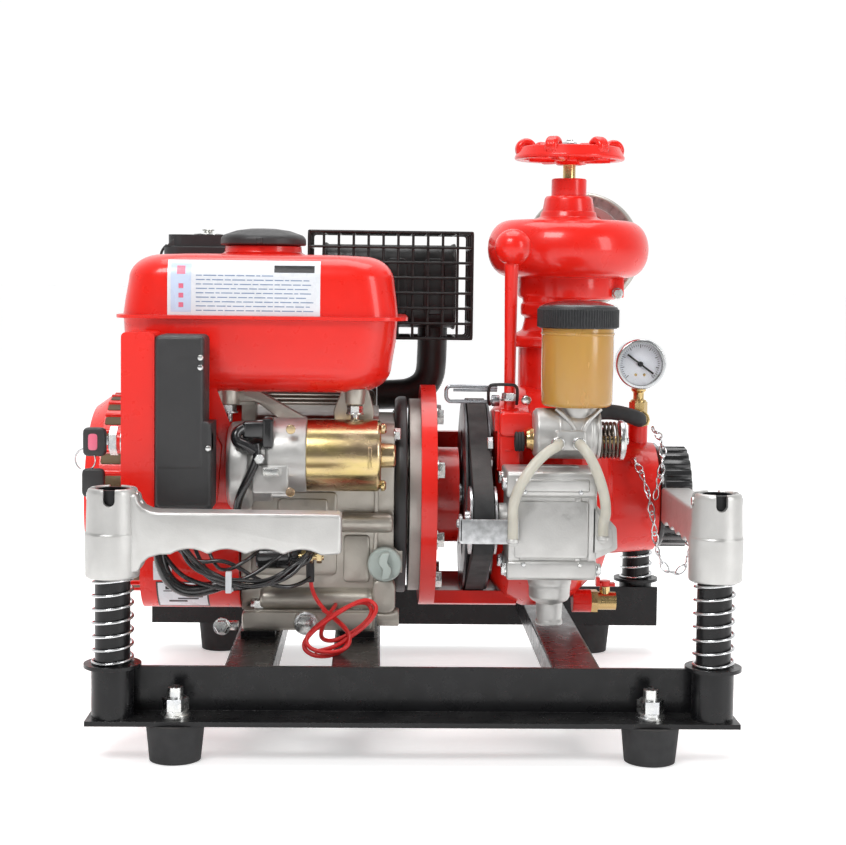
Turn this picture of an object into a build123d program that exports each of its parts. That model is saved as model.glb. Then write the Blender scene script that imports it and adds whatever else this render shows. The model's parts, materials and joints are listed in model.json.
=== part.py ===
from build123d import *

# Portable fire pump: a petrol engine drives a centrifugal pump on a steel carrying frame.
#
# Frame of reference: +X runs along the crankshaft from the recoil starter to the suction inlet, +Y runs away
# from the operator's side, +Z is up. The origin lies on the floor under the centre of the overall box.
# Everything is drawn about the middle of the carrying frame and moved by FRAME_X when it is written.
import math
import os

os.makedirs("parts", exist_ok=True)

# ---- driving dimensions, millimetres ----
FRAME_X = 13.5          # the origin stands this far left of the frame's middle: the recoil starter overhangs
FRAME_Y = -12.0         # the frame's middle, in front of the point that the machine is drawn about
RAIL_LENGTH = 519.0
RAIL_OUTER_Y = 220.0    # outer edge of the side rails' flanges, from the frame's middle
RAIL_SIZE = 40.0        # 40 x 40 x 4 angle
RAIL_WALL = 4.0
FLOOR_GAP = 30.0        # height of the rubber feet
POST_X = 240.0
POST_Y = 201.5
FOOT_X = 190.0
RAIL_TOP = FLOOR_GAP + RAIL_SIZE
RAIL_INNER_Y = RAIL_OUTER_Y - RAIL_SIZE

AXIS_Y = 18.0           # crankshaft and pump shaft
AXIS_Z = 184.0
ENGINE_BASE_Z = 75.0
CASE_X0, CASE_X1 = -150.0, -16.0    # crankcase, recoil side to shaft side

HANDLE_Z0, HANDLE_Z1 = 146.0, 217.0
HANDLE_R = 21.5
ARM_Z0, ARM_Z1 = 165.0, 199.0
SHAFT_R = 10.0
ARM_LENGTH = 181.0
FINGER_PITCH = 29.5
PIN_Z, PIN_R = 210.0, 3.5
LIFT = 12.0             # how far a handle is pushed down to clear its cross pin
SPRING_Z0 = 77.2
SPRING_R = 16.0
SPRING_WIRE = 2.3

CASE_Y0, CASE_Y1 = -66.0, 96.0
BARREL_TILT = 65.0      # the cylinder leans this far from upright, away from the operator
BORE_X = -88.0
BORE_R = 34.0
CRANK_THROW = 27.0
SHAFT_X0, SHAFT_X1 = -212.0, 128.0
PTO_X = -2.0
FLANGE_X = 8.0
FAN_X0, FAN_Y0, FAN_Y1, FAN_Z0, FAN_Z1 = -236.0, -93.0, 118.0, 90.0, 272.0
RECOIL_X0 = -289.0
OIL_X, OIL_Z = -23.5, 133.5
TANK = (-246.0, -8.0, -118.0, 62.0)
SEAM_Z, TANK_TOP, TANK_BOTTOM = 349.5, 403.0, 289.0
CAP_X, CAP_Y = -135.0, -25.0
CAGE = (-99.0, 59.0, 66.0, 172.0, 326.0, 430.0)
STARTER_Y, STARTER_Z = -98.0, 232.0
KEY_Y, KEY_Z = -143.0, 247.0

VOLUTE_X0, VOLUTE_X1 = 74.0, 170.0
CAP_X1 = 262.0          # outer end of the suction cap
RISER_Z = 322.0
OUTLET_TURN = -14.0
DRAIN_Y, DRAIN_Z = -10.0, 90.0
PULLEY_R, VAC_PULLEY_R = 80.0, 22.0
BELT_WIDTH = 17.0
CUP_Z0, CUP_Z1 = 279.0, 360.0
HOSE_PORTS = (121.0, 139.0)
GAUGE_R = 23.5

VALVE_X, VALVE_Y = 146.0, 40.0      # discharge valve spindle
CUP_X, CUP_Y = 140.5, -95.0         # priming oil cup
VAC_Y, VAC_Z = -114.0, 179.0        # vacuum pump shaft
GAUGE_X, GAUGE_Z = 212.0, 308.0
LEVER_X, LEVER_Y, LEVER_Z = 85.0, -62.0, 262.0

parts = {}


# ---- small shape helpers ----
def block(x0, x1, y0, y1, z0, z1):
    return Pos((x0 + x1) / 2, (y0 + y1) / 2, (z0 + z1) / 2) * Box(x1 - x0, y1 - y0, z1 - z0)


def rod_x(x0, x1, y, z, r):
    return Pos((x0 + x1) / 2, y, z) * Rot(0, 90, 0) * Cylinder(r, x1 - x0)


def rod_y(x, y0, y1, z, r):
    return Pos(x, (y0 + y1) / 2, z) * Rot(90, 0, 0) * Cylinder(r, y1 - y0)


def rod_z(x, y, z0, z1, r):
    return Pos(x, y, (z0 + z1) / 2) * Cylinder(r, z1 - z0)


def hex_x(x0, x1, y, z, across):
    outline = Plane(origin=(x0, y, z), x_dir=(0, 1, 0), z_dir=(1, 0, 0))
    return extrude(outline * RegularPolygon(across / 2, 6, major_radius=False), x1 - x0)


def hex_y(x, y0, y1, z, across):
    outline = Plane(origin=(x, y0, z), x_dir=(1, 0, 0), z_dir=(0, 1, 0))
    return extrude(outline * RegularPolygon(across / 2, 6, major_radius=False), y1 - y0)


def hex_z(x, y, z0, z1, across, sides=6):
    return Pos(x, y, z0) * extrude(RegularPolygon(across / 2, sides, major_radius=False), z1 - z0)


def rounded_block(x0, x1, y0, y1, z0, z1, radius, axis=Axis.X):
    body = block(x0, x1, y0, y1, z0, z1)
    return fillet(body.edges().filter_by(axis), radius)


def group(shapes):
    return Compound(children=list(shapes))


def solids_of(*shapes):
    found = []
    for shape in shapes:
        found.extend(shape.solids())
    return Compound(children=found)


CORNERS = {
    "front_left": (-1, -1),
    "front_right": (1, -1),
    "rear_left": (-1, 1),
    "rear_right": (1, 1),
}


def post_place(sx, sy):
    return sx * POST_X, FRAME_Y + sy * POST_Y


# ---- carrying frame ----
def side_rails():
    rails = []
    for side in (-1, 1):
        web_y = sorted((side * RAIL_INNER_Y, side * (RAIL_INNER_Y + RAIL_WALL)))
        flange_y = sorted((side * RAIL_INNER_Y, side * RAIL_OUTER_Y))
        half = RAIL_LENGTH / 2
        rail = block(-half, half, *web_y, FLOOR_GAP, RAIL_TOP)
        rail += block(-half, half, *flange_y, FLOOR_GAP, FLOOR_GAP + RAIL_WALL)
        for end in (-1, 1):
            x = end * POST_X
            y = side * POST_Y
            sleeve = rod_z(x, y, FLOOR_GAP + RAIL_WALL, 74, 16.75)
            sleeve += rod_z(x, y, 74, 77, 22.8)
            rail += sleeve
            rail += block(x - 8, x + 8, *sorted((side * (RAIL_INNER_Y + 1), side * (POST_Y - 12))), 34, RAIL_TOP)
            rail -= rod_z(x, y, FLOOR_GAP + RAIL_WALL, 80, 14.0)
            rail -= rod_z(end * FOOT_X, side * (POST_Y + 1), FLOOR_GAP - 1, FLOOR_GAP + RAIL_WALL + 1, 6.5)
        rails.append(Pos(0, FRAME_Y, 0) * rail)
    return solids_of(*rails)


CROSS_X = (-134.0, -47.0, 133.0)
CROSS_HALF = 20.0


def cross_members():
    bars = []
    for x in CROSS_X:
        y0, y1 = FRAME_Y - RAIL_INNER_Y, FRAME_Y + RAIL_INNER_Y
        bar = block(x - CROSS_HALF, x + CROSS_HALF, y0, y1, 46, RAIL_TOP)
        bar = fillet(bar.edges().filter_by(Axis.Y), 3)
        bar -= block(x - CROSS_HALF + 3, x + CROSS_HALF - 3, y0, y1, 49, RAIL_TOP - 3)
        if x < 0:
            for y in (CASE_Y0 - 2, CASE_Y1 - 2):
                bar += block(x - 15, x + 15, y - 15, y + 15, RAIL_TOP - 1, ENGINE_BASE_Z)
                bar -= rod_z(x, y, RAIL_TOP - 5, ENGINE_BASE_Z + 1, 4.5)
        bars.append(bar)
    return solids_of(*bars)


def foot_places():
    return [(sx * FOOT_X, FRAME_Y + sy * (POST_Y + 1)) for sx, sy in CORNERS.values()]


def rubber_feet():
    feet = []
    for x, y in foot_places():
        foot = Pos(x, y, 0) * loft([Circle(20.5), Pos(0, 0, FLOOR_GAP) * Circle(23.5)])
        foot -= rod_z(x, y, -1, 12, 11.5)
        foot -= rod_z(x, y, 11, FLOOR_GAP + 1, 6.3)
        feet.append(foot)
    return solids_of(*feet)


def foot_fastener(x, y):
    stud = rod_z(x, y, 12, 58, 6.0)
    head = hex_z(x, y, 4, 12, 19)
    bolt = stud + head
    top = FLOOR_GAP + RAIL_WALL
    washer = rod_z(x, y, top, top + 2.5, 12) - rod_z(x, y, top - 1, top + 3, 6.0)
    spring_washer = rod_z(x, y, top + 2.5, top + 5.5, 10.3) - rod_z(x, y, top, top + 6, 6.0)
    nut = hex_z(x, y, top + 5.5, top + 15.5, 19) - rod_z(x, y, top, top + 17, 6.0)
    return [bolt, washer, spring_washer, nut]


def hex_bolt_x(x0, head, y, z, r, across, shank, toward=-1):
    """A bolt along X: shank from x0, head on the side given by toward."""
    if toward < 0:
        return hex_x(x0 - head, x0, y, z, across) + rod_x(x0 - 0.01, x0 + shank, y, z, r)
    return hex_x(x0, x0 + head, y, z, across) + rod_x(x0 - shank, x0 + 0.01, y, z, r)


def handle_posts():
    posts = []
    for sx, sy in CORNERS.values():
        x, y = post_place(sx, sy)
        post = rod_z(x, y, FLOOR_GAP + RAIL_WALL, HANDLE_Z1 - 1, 14.0)
        post -= rod_z(x, y, FLOOR_GAP + RAIL_WALL + 2, HANDLE_Z1 + 1, 11.5)
        post += rod_x(x - 13.5, x + 13.5, y, PIN_Z, PIN_R)
        posts.append(post)
    return solids_of(*posts)


def handle(sx, sy, turn):
    """A cast corner handle, drawn with its arm along +X and then turned about its post."""
    socket = rod_z(0, 0, HANDLE_Z0, HANDLE_Z1, HANDLE_R)
    socket = fillet(socket.edges().filter_by(GeomType.CIRCLE), 1.5)
    arm = block(12, ARM_LENGTH, -14, 14, ARM_Z0 + 6, ARM_Z1)
    arm = fillet(arm.edges().filter_by(Axis.X), 5)
    grip = block(46, ARM_LENGTH, -12, 12, ARM_Z0, ARM_Z0 + 9)
    for n in range(4):
        grip -= Pos(62 + n * FINGER_PITCH, 0, ARM_Z0 - 16) * Rot(90, 0, 0) * Cylinder(19, 60)
    root = loft([
        Plane(origin=(10, 0, 182), z_dir=(1, 0, 0)) * Rectangle(34, 52),
        Plane(origin=(46, 0, 182.5), z_dir=(1, 0, 0)) * Rectangle(26, 30),
    ])
    shape = socket + root + arm + grip
    shape -= rod_z(0, 0, HANDLE_Z0 - 1, HANDLE_Z1 + 1, 14.3)
    for angle in (0, 90):
        notch = block(-30, 30, -4.6, 4.6, PIN_Z - 1.5, HANDLE_Z1 + 1)
        notch += rod_x(-30, 30, 0, PIN_Z - 1.5, 4.6)
        shape -= Rot(0, 0, angle) * notch
    shape = shape.solids().sort_by(SortBy.VOLUME)[-1]
    pin_ends = [rod_x(14.3, 23.5, 0, PIN_Z, PIN_R), rod_x(-23.5, -14.3, 0, PIN_Z, PIN_R)]
    pin_ends = [Rot(0, 0, 90 * (abs(turn) % 180 == 90)) * end for end in pin_ends]
    x, y = post_place(sx, sy)
    place = Pos(x, y, 0) * Rot(0, 0, turn)
    return solids_of(*[place * shape for shape in [shape] + pin_ends])


def spring(x, y):
    """A compression spring round a post, closed at both ends."""
    z0, z1 = SPRING_Z0, HANDLE_Z0 - 0.2
    turns = 7
    coil = Helix(pitch=(z1 - z0 - SPRING_WIRE) / turns, height=z1 - z0 - SPRING_WIRE, radius=SPRING_R)
    start = coil @ 0
    wire = sweep(Plane(origin=start, z_dir=coil % 0) * Circle(SPRING_WIRE / 2), path=coil, is_frenet=True)
    return Pos(x, y, z0 + SPRING_WIRE / 2) * wire


# ---- engine ----
def crankcase():
    case = rounded_block(CASE_X0, CASE_X1 - 14, CASE_Y0, CASE_Y1, ENGINE_BASE_Z + 12, 262, 22)
    case += block(CASE_X0 + 4, CASE_X1 - 16, CASE_Y0 - 14, CASE_Y1 + 10, ENGINE_BASE_Z, ENGINE_BASE_Z + 18)
    case -= block(-112, -62, CASE_Y0 - 20, CASE_Y0 + 6, ENGINE_BASE_Z - 1, ENGINE_BASE_Z + 8)
    barrel = Rot(-BARREL_TILT, 0, 0) * rounded_block(-132, -44, -30, 34, 60, 118, 6, Axis.Z)
    for n in range(7):
        height = 64 + n * 8
        fin = rounded_block(-142, -34, -42, 42, height, height + 2.4, 8, Axis.Z)
        barrel += Rot(-BARREL_TILT, 0, 0) * fin
    case += Pos(0, AXIS_Y, AXIS_Z) * barrel
    case += block(-61, -43, CASE_Y0 - 8, CASE_Y0 + 22, 250, TANK_BOTTOM)
    case += block(-167, -138, CASE_Y0 - 8, CASE_Y0 + 22, FAN_Z1 + 0.5, TANK_BOTTOM)
    case += block(-150, -138, CASE_Y0 - 4, CASE_Y0 + 22, 240, FAN_Z1 + 4)
    case -= block(CASE_X0 + 8, CASE_X1 - 14, CASE_Y0 + 8, CASE_Y1 - 8, ENGINE_BASE_Z + 8, 246)
    bore = Pos(0, AXIS_Y, AXIS_Z) * Rot(-BARREL_TILT, 0, 0) * Pos(BORE_X, 0, 60) * Cylinder(BORE_R, 140)
    case -= bore
    case -= rod_x(CASE_X0 - 2, CASE_X0 + 12, AXIS_Y, AXIS_Z, SHAFT_R + 0.05)
    return case


def side_cover():
    cover = rounded_block(CASE_X1 - 14, CASE_X1, CASE_Y0, CASE_Y1, ENGINE_BASE_Z + 12, 256, 24)
    cover = cover + rod_x(CASE_X1 - 1, PTO_X, AXIS_Y, AXIS_Z, 46)
    cover += rod_x(CASE_X1 - 6, CASE_X1 + 8, CASE_Y0 + 16, 137, 15)
    cover -= rod_x(CASE_X1 - 20, PTO_X + 1, AXIS_Y, AXIS_Z, SHAFT_R + 0.05)
    cover -= rod_y(OIL_X, CASE_Y0 - 4, CASE_Y0 + 44, OIL_Z, 3.4)
    return cover


def cylinder_head():
    turn = Pos(0, AXIS_Y, AXIS_Z) * Rot(-BARREL_TILT, 0, 0)
    head = rounded_block(-134, -42, -34, 36, 118, 146, 6, Axis.Z)
    for n in range(3):
        height = 120 + n * 8
        head += rounded_block(-144, -32, -44, 44, height, height + 2.4, 8, Axis.Z)
    chamber = Pos(BORE_X, 0, 118) * Cylinder(BORE_R, 8)
    cover = rounded_block(-128, -48, -32, 33, 146, 168, 10, Axis.Z)
    return solids_of(turn * (head - chamber), turn * cover)


def piston_and_rod():
    """Drawn at top dead centre. The rod stops where the crank's webs sweep, so that the shaft is free to turn."""
    turn = Pos(0, AXIS_Y, AXIS_Z) * Rot(-BARREL_TILT, 0, 0)
    piston = Pos(BORE_X, 0, 92) * Cylinder(BORE_R - 0.05, 44)
    piston -= Pos(BORE_X, 0, 84) * Cylinder(BORE_R - 6, 40)
    rod = block(BORE_X - 6, BORE_X + 6, -9, 9, CRANK_THROW + 12, 100)
    rod += rod_x(BORE_X - 6, BORE_X + 6, 0, 94, 12)
    rod -= rod_x(BORE_X - 20, BORE_X + 20, 0, 0, CRANK_THROW + 19)
    wrist = rod_x(BORE_X - 25, BORE_X + 25, 0, 94, 8)
    rod -= wrist
    piston -= wrist
    return solids_of(turn * piston, turn * rod, turn * wrist)


def crankshaft():
    turn = Pos(0, AXIS_Y, AXIS_Z) * Rot(-BARREL_TILT, 0, 0)
    shaft = rod_x(SHAFT_X0, BORE_X - 11, 0, 0, SHAFT_R) + rod_x(BORE_X + 11, SHAFT_X1, 0, 0, SHAFT_R)
    for x in (BORE_X - 19, BORE_X + 11):
        cheek = block(x, x + 8, -18, 18, -34, CRANK_THROW + 14)
        shaft += fillet(cheek.edges().filter_by(Axis.X), 8)
    shaft += rod_x(BORE_X - 12, BORE_X + 12, 0, CRANK_THROW, 15)
    return turn * shaft


def flywheel():
    wheel = rod_x(-196, -178, AXIS_Y, AXIS_Z, 81) - rod_x(-200, -186, AXIS_Y, AXIS_Z, 68)
    wheel += rod_x(-208, -178, AXIS_Y, AXIS_Z, 24)
    for n in range(12):
        vane = block(-208, -195.5, 60, 80, -1.5, 1.5)
        wheel += Pos(0, AXIS_Y, AXIS_Z) * Rot(n * 30, 0, 0) * vane
    return wheel - rod_x(-220, -170, AXIS_Y, AXIS_Z, SHAFT_R)


def fan_housing():
    x0, x1 = FAN_X0, CASE_X0
    outer = rounded_block(x0, x1, FAN_Y0, FAN_Y1, FAN_Z0, FAN_Z1, 46)
    inner = rounded_block(x0 + 3, x1 + 1, FAN_Y0 + 3, FAN_Y1 - 3, FAN_Z0 + 3, FAN_Z1 - 3, 43)
    eye = rod_x(x0 - 1, x0 + 4, AXIS_Y, AXIS_Z, 78)
    return outer - inner - eye


def recoil_starter():
    x0 = RECOIL_X0
    cup = rod_x(x0, FAN_X0, AXIS_Y, AXIS_Z, 90)
    cup = chamfer(cup.edges().filter_by(GeomType.CIRCLE).group_by(Axis.X)[0], 14, 10)
    cup -= rod_x(x0 + 3, FAN_X0 + 1, AXIS_Y, AXIS_Z, 74)
    for ring, count, size in ((34, 10, 3.4), (56, 16, 4.2)):
        for n in range(count):
            slot = block(x0 - 2, x0 + 5, ring - size * 2, ring + size * 2, -size, size)
            cup -= Pos(0, AXIS_Y, AXIS_Z) * Rot(n * 360 / count, 0, 0) * slot
    return cup


def fuel_tank():
    x0, x1, y0, y1 = TANK
    upper = block(x0 + 6, x1 - 6, y0 + 6, y1 - 6, SEAM_Z, TANK_TOP)
    upper = fillet(upper.edges().filter_by(Axis.Z), 26)
    upper = fillet(upper.faces().sort_by(Axis.Z)[-1].edges(), 22)
    lower = block(x0 + 8, x1 - 8, y0 + 8, y1 - 8, TANK_BOTTOM, SEAM_Z)
    lower = fillet(lower.edges().filter_by(Axis.Z), 24)
    lower = fillet(lower.faces().sort_by(Axis.Z)[0].edges(), 14)
    seam = block(x0, x1, y0, y1, SEAM_Z - 1.5, SEAM_Z + 1.5)
    seam = fillet(seam.edges().filter_by(Axis.Z), 30)
    inside = block(x0 + 12, x1 - 12, y0 + 12, y1 - 12, TANK_BOTTOM + 4, TANK_TOP - 4)
    inside = fillet(inside.edges(), 18)
    tank = upper + lower + seam + rod_z(CAP_X, CAP_Y, TANK_TOP - 6, TANK_TOP + 9, 34)
    tank -= inside
    tank -= rod_z(CAP_X, CAP_Y, TANK_TOP - 10, TANK_TOP + 12, 27)
    return tank


def fuel_cap():
    z = TANK_TOP + 9.3
    cap = rod_z(CAP_X, CAP_Y, z, z + 15, 38)
    cap = chamfer(cap.edges().filter_by(GeomType.CIRCLE).sort_by(Axis.Z)[-1], 5, 9)
    return cap + rod_z(CAP_X, CAP_Y, z - 14, z, 26.4)


def air_cleaner():
    body = rounded_block(-238, -152, 74, 168, 322, 412, 16, Axis.Z)
    body = body + rounded_block(-234, -156, 78, 164, 412, 424, 14, Axis.Z)
    return body - rounded_block(-232, -158, 80, 162, 328, 400, 12, Axis.Z)


def carburetor():
    body = block(-198, -160, 122, 158, 240, 322) + rod_x(-161, -144.2, 140, 254, 13)
    bowl = rod_z(-179, 140, 216, 241, 17)
    return body + bowl


def muffler():
    box = rounded_block(-86, 44, 78, 160, 336, 418, 16, Axis.X)
    pipe = rod_z(22, 112, 262, 340, 15)
    pipe += block(-31.9, 30, 100, 124, 262, 286)
    return box + pipe


def muffler_cage():
    """A welded wire guard round the muffler, as a thin grating on five sides."""
    x0, x1, y0, y1, z0, z1 = CAGE
    shell = block(x0, x1, y0, y1, z0, z1) - block(x0 + 2.4, x1 - 2.4, y0 + 2.4, y1 + 1, z0 + 2.4, z1 - 2.4)
    nx, ny, nz = 12, 9, 8
    px, py, pz = (x1 - x0 - 2.4) / nx, (y1 - y0 - 2.4) / ny, (z1 - z0 - 2.4) / nz
    hole_x, hole_y, hole_z = px - 2.6, py - 2.6, pz - 2.6
    xs = [x0 + 1.2 + px * (n + 0.5) for n in range(nx)]
    ys = [y0 + 1.2 + py * (n + 0.5) for n in range(ny)]
    zs = [z0 + 1.2 + pz * (n + 0.5) for n in range(nz)]
    through_y = [Pos(x, y0, z) * Box(hole_x, 20, hole_z) for x in xs for z in zs]
    through_z = [Pos(x, y, (z0 + z1) / 2) * Box(hole_x, hole_y, z1 - z0 + 20) for x in xs for y in ys]
    through_x = [Pos((x0 + x1) / 2, y, z) * Box(x1 - x0 + 20, hole_y, hole_z) for y in ys for z in zs]
    return shell - through_y - through_z - through_x


# ---- engine accessories ----
def control_box():
    """The red steel case beside the fan housing, with the plate that carries the black cover."""
    case = block(-241, -213.6, -165, -121, 191, 338)
    case = fillet(case.edges().filter_by(Axis.Y), 4)
    case -= block(-239, -215.6, -163, -123, 193, 336)
    case += block(-215, -176, -124, -121, 193, 336)
    case += block(-238, -176, -122, FAN_Y0, 200, 240)
    return case - rod_x(-250, -210, KEY_Y, KEY_Z, 10.5)


def key_switch():
    barrel = rod_x(-249, -216, KEY_Y, KEY_Z, 10.5)
    return barrel - rod_x(-250, -238, KEY_Y, KEY_Z, 5.6)


def ignition_key():
    blade = block(-252, -239, KEY_Y - 1.2, KEY_Y + 1.2, KEY_Z - 4, KEY_Z + 4)
    head = rod_y(-260, KEY_Y - 1.5, KEY_Y + 1.5, KEY_Z, 11) - rod_y(-263, KEY_Y - 2, KEY_Y + 2, KEY_Z, 4)
    return blade + head


def control_box_cover():
    cover = rounded_block(-213.3, -173, -167, -124, 224, 336, 5, Axis.Y)
    cover += block(-213.3, -167, -167, -124, 193, 264)
    cover = fillet(cover.faces().sort_by(Axis.Y)[0].edges(), 2)
    return cover - block(-210, -176, -163, -123, 198, 331)


def starter_motor():
    y, z = STARTER_Y, STARTER_Z
    nose = rod_x(-121, -91, y, z, 31.5)
    gear = rounded_block(-157, -121, y - 26, y + 26, 190, 252, 12)
    lug = block(-157, -100, y + 20, CASE_Y0, 205, 255)
    motor = rod_x(-91, -28, y, z, 30.5)
    boss = rod_x(-28, -15, y, z, 11)
    relay = block(-104, -72, -106, CASE_Y0, 140, 160) + rod_y(-88, -112, -104, 150, 5)
    return solids_of(nose + gear + lug, motor + boss, relay)


def oil_cap():
    x, y, z = OIL_X, CASE_Y0, OIL_Z
    cap = rod_y(x, y - 15, y - 0.3, z, 14.5)
    cap += block(x - 4, x + 4, y - 21, y - 14, z - 13, z + 13)
    stick = rod_y(x, y - 4, y + 40, z, 3)
    return cap + stick


# ---- coupling and pump ----
def coupling_flange():
    plate = rod_x(PTO_X, FLANGE_X, AXIS_Y, AXIS_Z, 89)
    for n in range(8):
        angle = math.radians(n * 45 + 22.5)
        y, z = AXIS_Y + 81 * math.cos(angle), AXIS_Z + 81 * math.sin(angle)
        plate -= rod_x(PTO_X - 1, FLANGE_X + 1, y, z, 4.5)
    return plate - rod_x(PTO_X - 1, FLANGE_X + 1, AXIS_Y, AXIS_Z, 30)


def bracket_arms(x0, x1):
    """The two arms that pass behind and under the belt pulley and carry the pump."""
    shell = rod_x(x0, x1, AXIS_Y, AXIS_Z, 102) - rod_x(x0 - 1, x1 + 1, AXIS_Y, AXIS_Z, 91)
    rear = shell & block(x0, x1, AXIS_Y, AXIS_Y + 110, 142, 236)
    lower = shell & block(x0, x1, AXIS_Y - 35, AXIS_Y + 45, 70, 104)
    return rear + lower


def pump_bracket():
    body = rod_x(FLANGE_X, 22, AXIS_Y, AXIS_Z, 102)
    body += rod_x(22, 44, AXIS_Y, AXIS_Z, 44)
    body += bracket_arms(22, VOLUTE_X0)
    body -= rod_x(FLANGE_X - 1, 36, AXIS_Y, AXIS_Z, 30)
    body -= rod_x(30, 45, AXIS_Y, AXIS_Z, SHAFT_R + 0.05)
    for n in range(8):
        angle = math.radians(n * 45 + 22.5)
        y, z = AXIS_Y + 81 * math.cos(angle), AXIS_Z + 81 * math.sin(angle)
        body -= rod_x(FLANGE_X - 1, 24, y, z, 4.5)
    return body


def drive_pulley():
    outline = [(47.5, 0), (47.5, 88), (49.5, 88), (50.2, 80), (67.8, 80), (68.5, 88), (70.5, 88), (70.5, 0)]
    wheel = revolve(Plane.XY * make_face(Polyline(*outline, close=True)), Axis.X)
    wheel -= rod_x(47, 71, 0, 0, SHAFT_R)
    for n in range(5):
        wheel -= Rot(n * 72, 0, 0) * rod_x(47, 71, 0, 46, 15)
    return Pos(0, AXIS_Y, AXIS_Z) * wheel


def belt_outline(margin):
    """The loop round both pulleys, as two circles and their outer tangents."""
    big, small = PULLEY_R + margin, VAC_PULLEY_R + margin
    outline = Plane(origin=(0, 0, 0), x_dir=(0, 1, 0), z_dir=(1, 0, 0))
    hull = make_hull([*(Pos(AXIS_Y, AXIS_Z) * Circle(big)).edges(), *(Pos(VAC_Y, VAC_Z) * Circle(small)).edges()])
    return outline * hull


def drive_belt():
    outer = extrude(belt_outline(10.0), BELT_WIDTH)
    inner = extrude(belt_outline(0.8), BELT_WIDTH)
    return Pos(59 - BELT_WIDTH / 2, 0, 0) * (outer - inner)


def vacuum_rotor():
    outline = [(47.5, 0), (47.5, 29), (49.5, 29), (50.2, 22), (67.8, 22), (68.5, 29), (70.5, 29), (70.5, 0)]
    wheel = revolve(Plane.XY * make_face(Polyline(*outline, close=True)), Axis.X)
    wheel += rod_x(44, 92, 0, 0, 8)
    wheel += rod_x(92.3, 138, 0, 0, 21)
    return Pos(0, VAC_Y, VAC_Z) * wheel


def volute_casing():
    x0, x1 = VOLUTE_X0, VOLUTE_X1
    outline = [(x0, 0), (x0, 78), (x0 + 14, 96), (x0 + 30, 102), (x0 + 58, 102), (x0 + 76, 94), (x1, 74), (x1, 0)]
    body = Pos(0, AXIS_Y, AXIS_Z) * revolve(Plane.XY * make_face(Polyline(*outline, close=True)), Axis.X)
    body += rod_z(VALVE_X - 12, VALVE_Y - 10, 250, RISER_Z, 34)
    body += bracket_arms(x0, x0 + 24)
    body += rod_x(150, 167, DRAIN_Y, DRAIN_Z, 10.5)
    body += block(74, 97, -74, -20, 217, 251.5)
    body -= rod_x(x0 + 20, x1 + 1, AXIS_Y, AXIS_Z, 66)
    body -= rod_x(x0 - 1, x0 + 21, AXIS_Y, AXIS_Z, SHAFT_R + 0.05)
    body -= rod_z(VALVE_X - 12, VALVE_Y - 10, 230, RISER_Z + 1, 24)
    return body


def suction_cover():
    x0 = VOLUTE_X1
    outline = [(x0, 0), (x0, 74), (x0 + 6, 70), (x0 + 12, 54), (226, 50), (226, 40), (252, 40), (252, 0)]
    body = Pos(0, AXIS_Y, AXIS_Z) * revolve(Plane.XY * make_face(Polyline(*outline, close=True)), Axis.X)
    body += rod_z(GAUGE_X, AXIS_Y, 220, 250.9, 9)
    body += rod_y(203, -24, 0, 221, 3)
    body -= rod_x(x0 - 1, 253, AXIS_Y, AXIS_Z, 32)
    return body


def impeller():
    wheel = rod_x(104, 109, 0, 0, 60) + rod_x(124, 129, 0, 0, 60) - rod_x(123, 130, 0, 0, 28)
    wheel += rod_x(104, 122, 0, 0, 17)
    for n in range(6):
        wheel += Rot(n * 60, 0, 0) * (Pos(116.5, 36, 8) * Rot(35, 0, 0) * Box(16, 42, 3))
    wheel -= rod_x(100, SHAFT_X1, 0, 0, SHAFT_R)
    return Pos(0, AXIS_Y, AXIS_Z) * wheel


def suction_cap():
    cap = rod_x(228, CAP_X1, AXIS_Y, AXIS_Z, 47)
    cap = chamfer(cap.edges().filter_by(GeomType.CIRCLE).sort_by(Axis.X)[-1], 3)
    for n in range(12):
        angle = math.radians(n * 30)
        cap -= rod_x(236, CAP_X1 + 1, AXIS_Y + 49 * math.cos(angle), AXIS_Z + 49 * math.sin(angle), 5)
    cap += rod_y(253, -24, 0, 150, 3)
    return cap - rod_x(227, 252.6, AXIS_Y, AXIS_Z, 40.4)


def drain_cock():
    body = rod_x(167, 190, DRAIN_Y, DRAIN_Z, 8.2) + hex_x(167, 173, DRAIN_Y, DRAIN_Z, 19)
    body += rod_z(180, DRAIN_Y, DRAIN_Z, 103.5, 4.6)
    return body - rod_x(172, 191, DRAIN_Y, DRAIN_Z, 4)


def drain_lever():
    arm = block(171.5, 189, DRAIN_Y - 4, DRAIN_Y + 4, 104, 107)
    arm += block(171.5, 175, DRAIN_Y - 4, DRAIN_Y + 4, 104, 112)
    return arm + rod_z(180, DRAIN_Y, 104, 109, 5)


def valve_body():
    x, y = VALVE_X, VALVE_Y
    body = rod_z(x - 8, y - 10, RISER_Z, 366, 34) + rod_z(x - 8, y - 10, RISER_Z, RISER_Z + 12, 43)
    body += rod_z(x, y, 364, 369, 42)
    body += hex_z(x, y, 368, 389, 84, 8)
    lobe = rod_z(x, y, 388, 439, 75)
    lobe = fillet(lobe.edges().filter_by(GeomType.CIRCLE), 22)
    body += lobe
    outlet = Pos(x, y, 415) * Rot(0, 0, OUTLET_TURN) * Rot(90, 0, 0) * Pos(0, 0, -84) * Cylinder(37, 60)
    body += outlet
    body -= rod_z(x, y, 393, 431, 52)
    body -= rod_z(x - 2, y - 2, 360, 394, 25)
    body -= rod_z(x - 8, y - 10, RISER_Z - 1, 364, 24)
    body -= rod_z(x, y, 430, 440, 18)
    bore = Pos(x, y, 415) * Rot(0, 0, OUTLET_TURN) * Rot(90, 0, 0) * Pos(0, 0, -80) * Cylinder(21, 80)
    return body - bore


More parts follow.
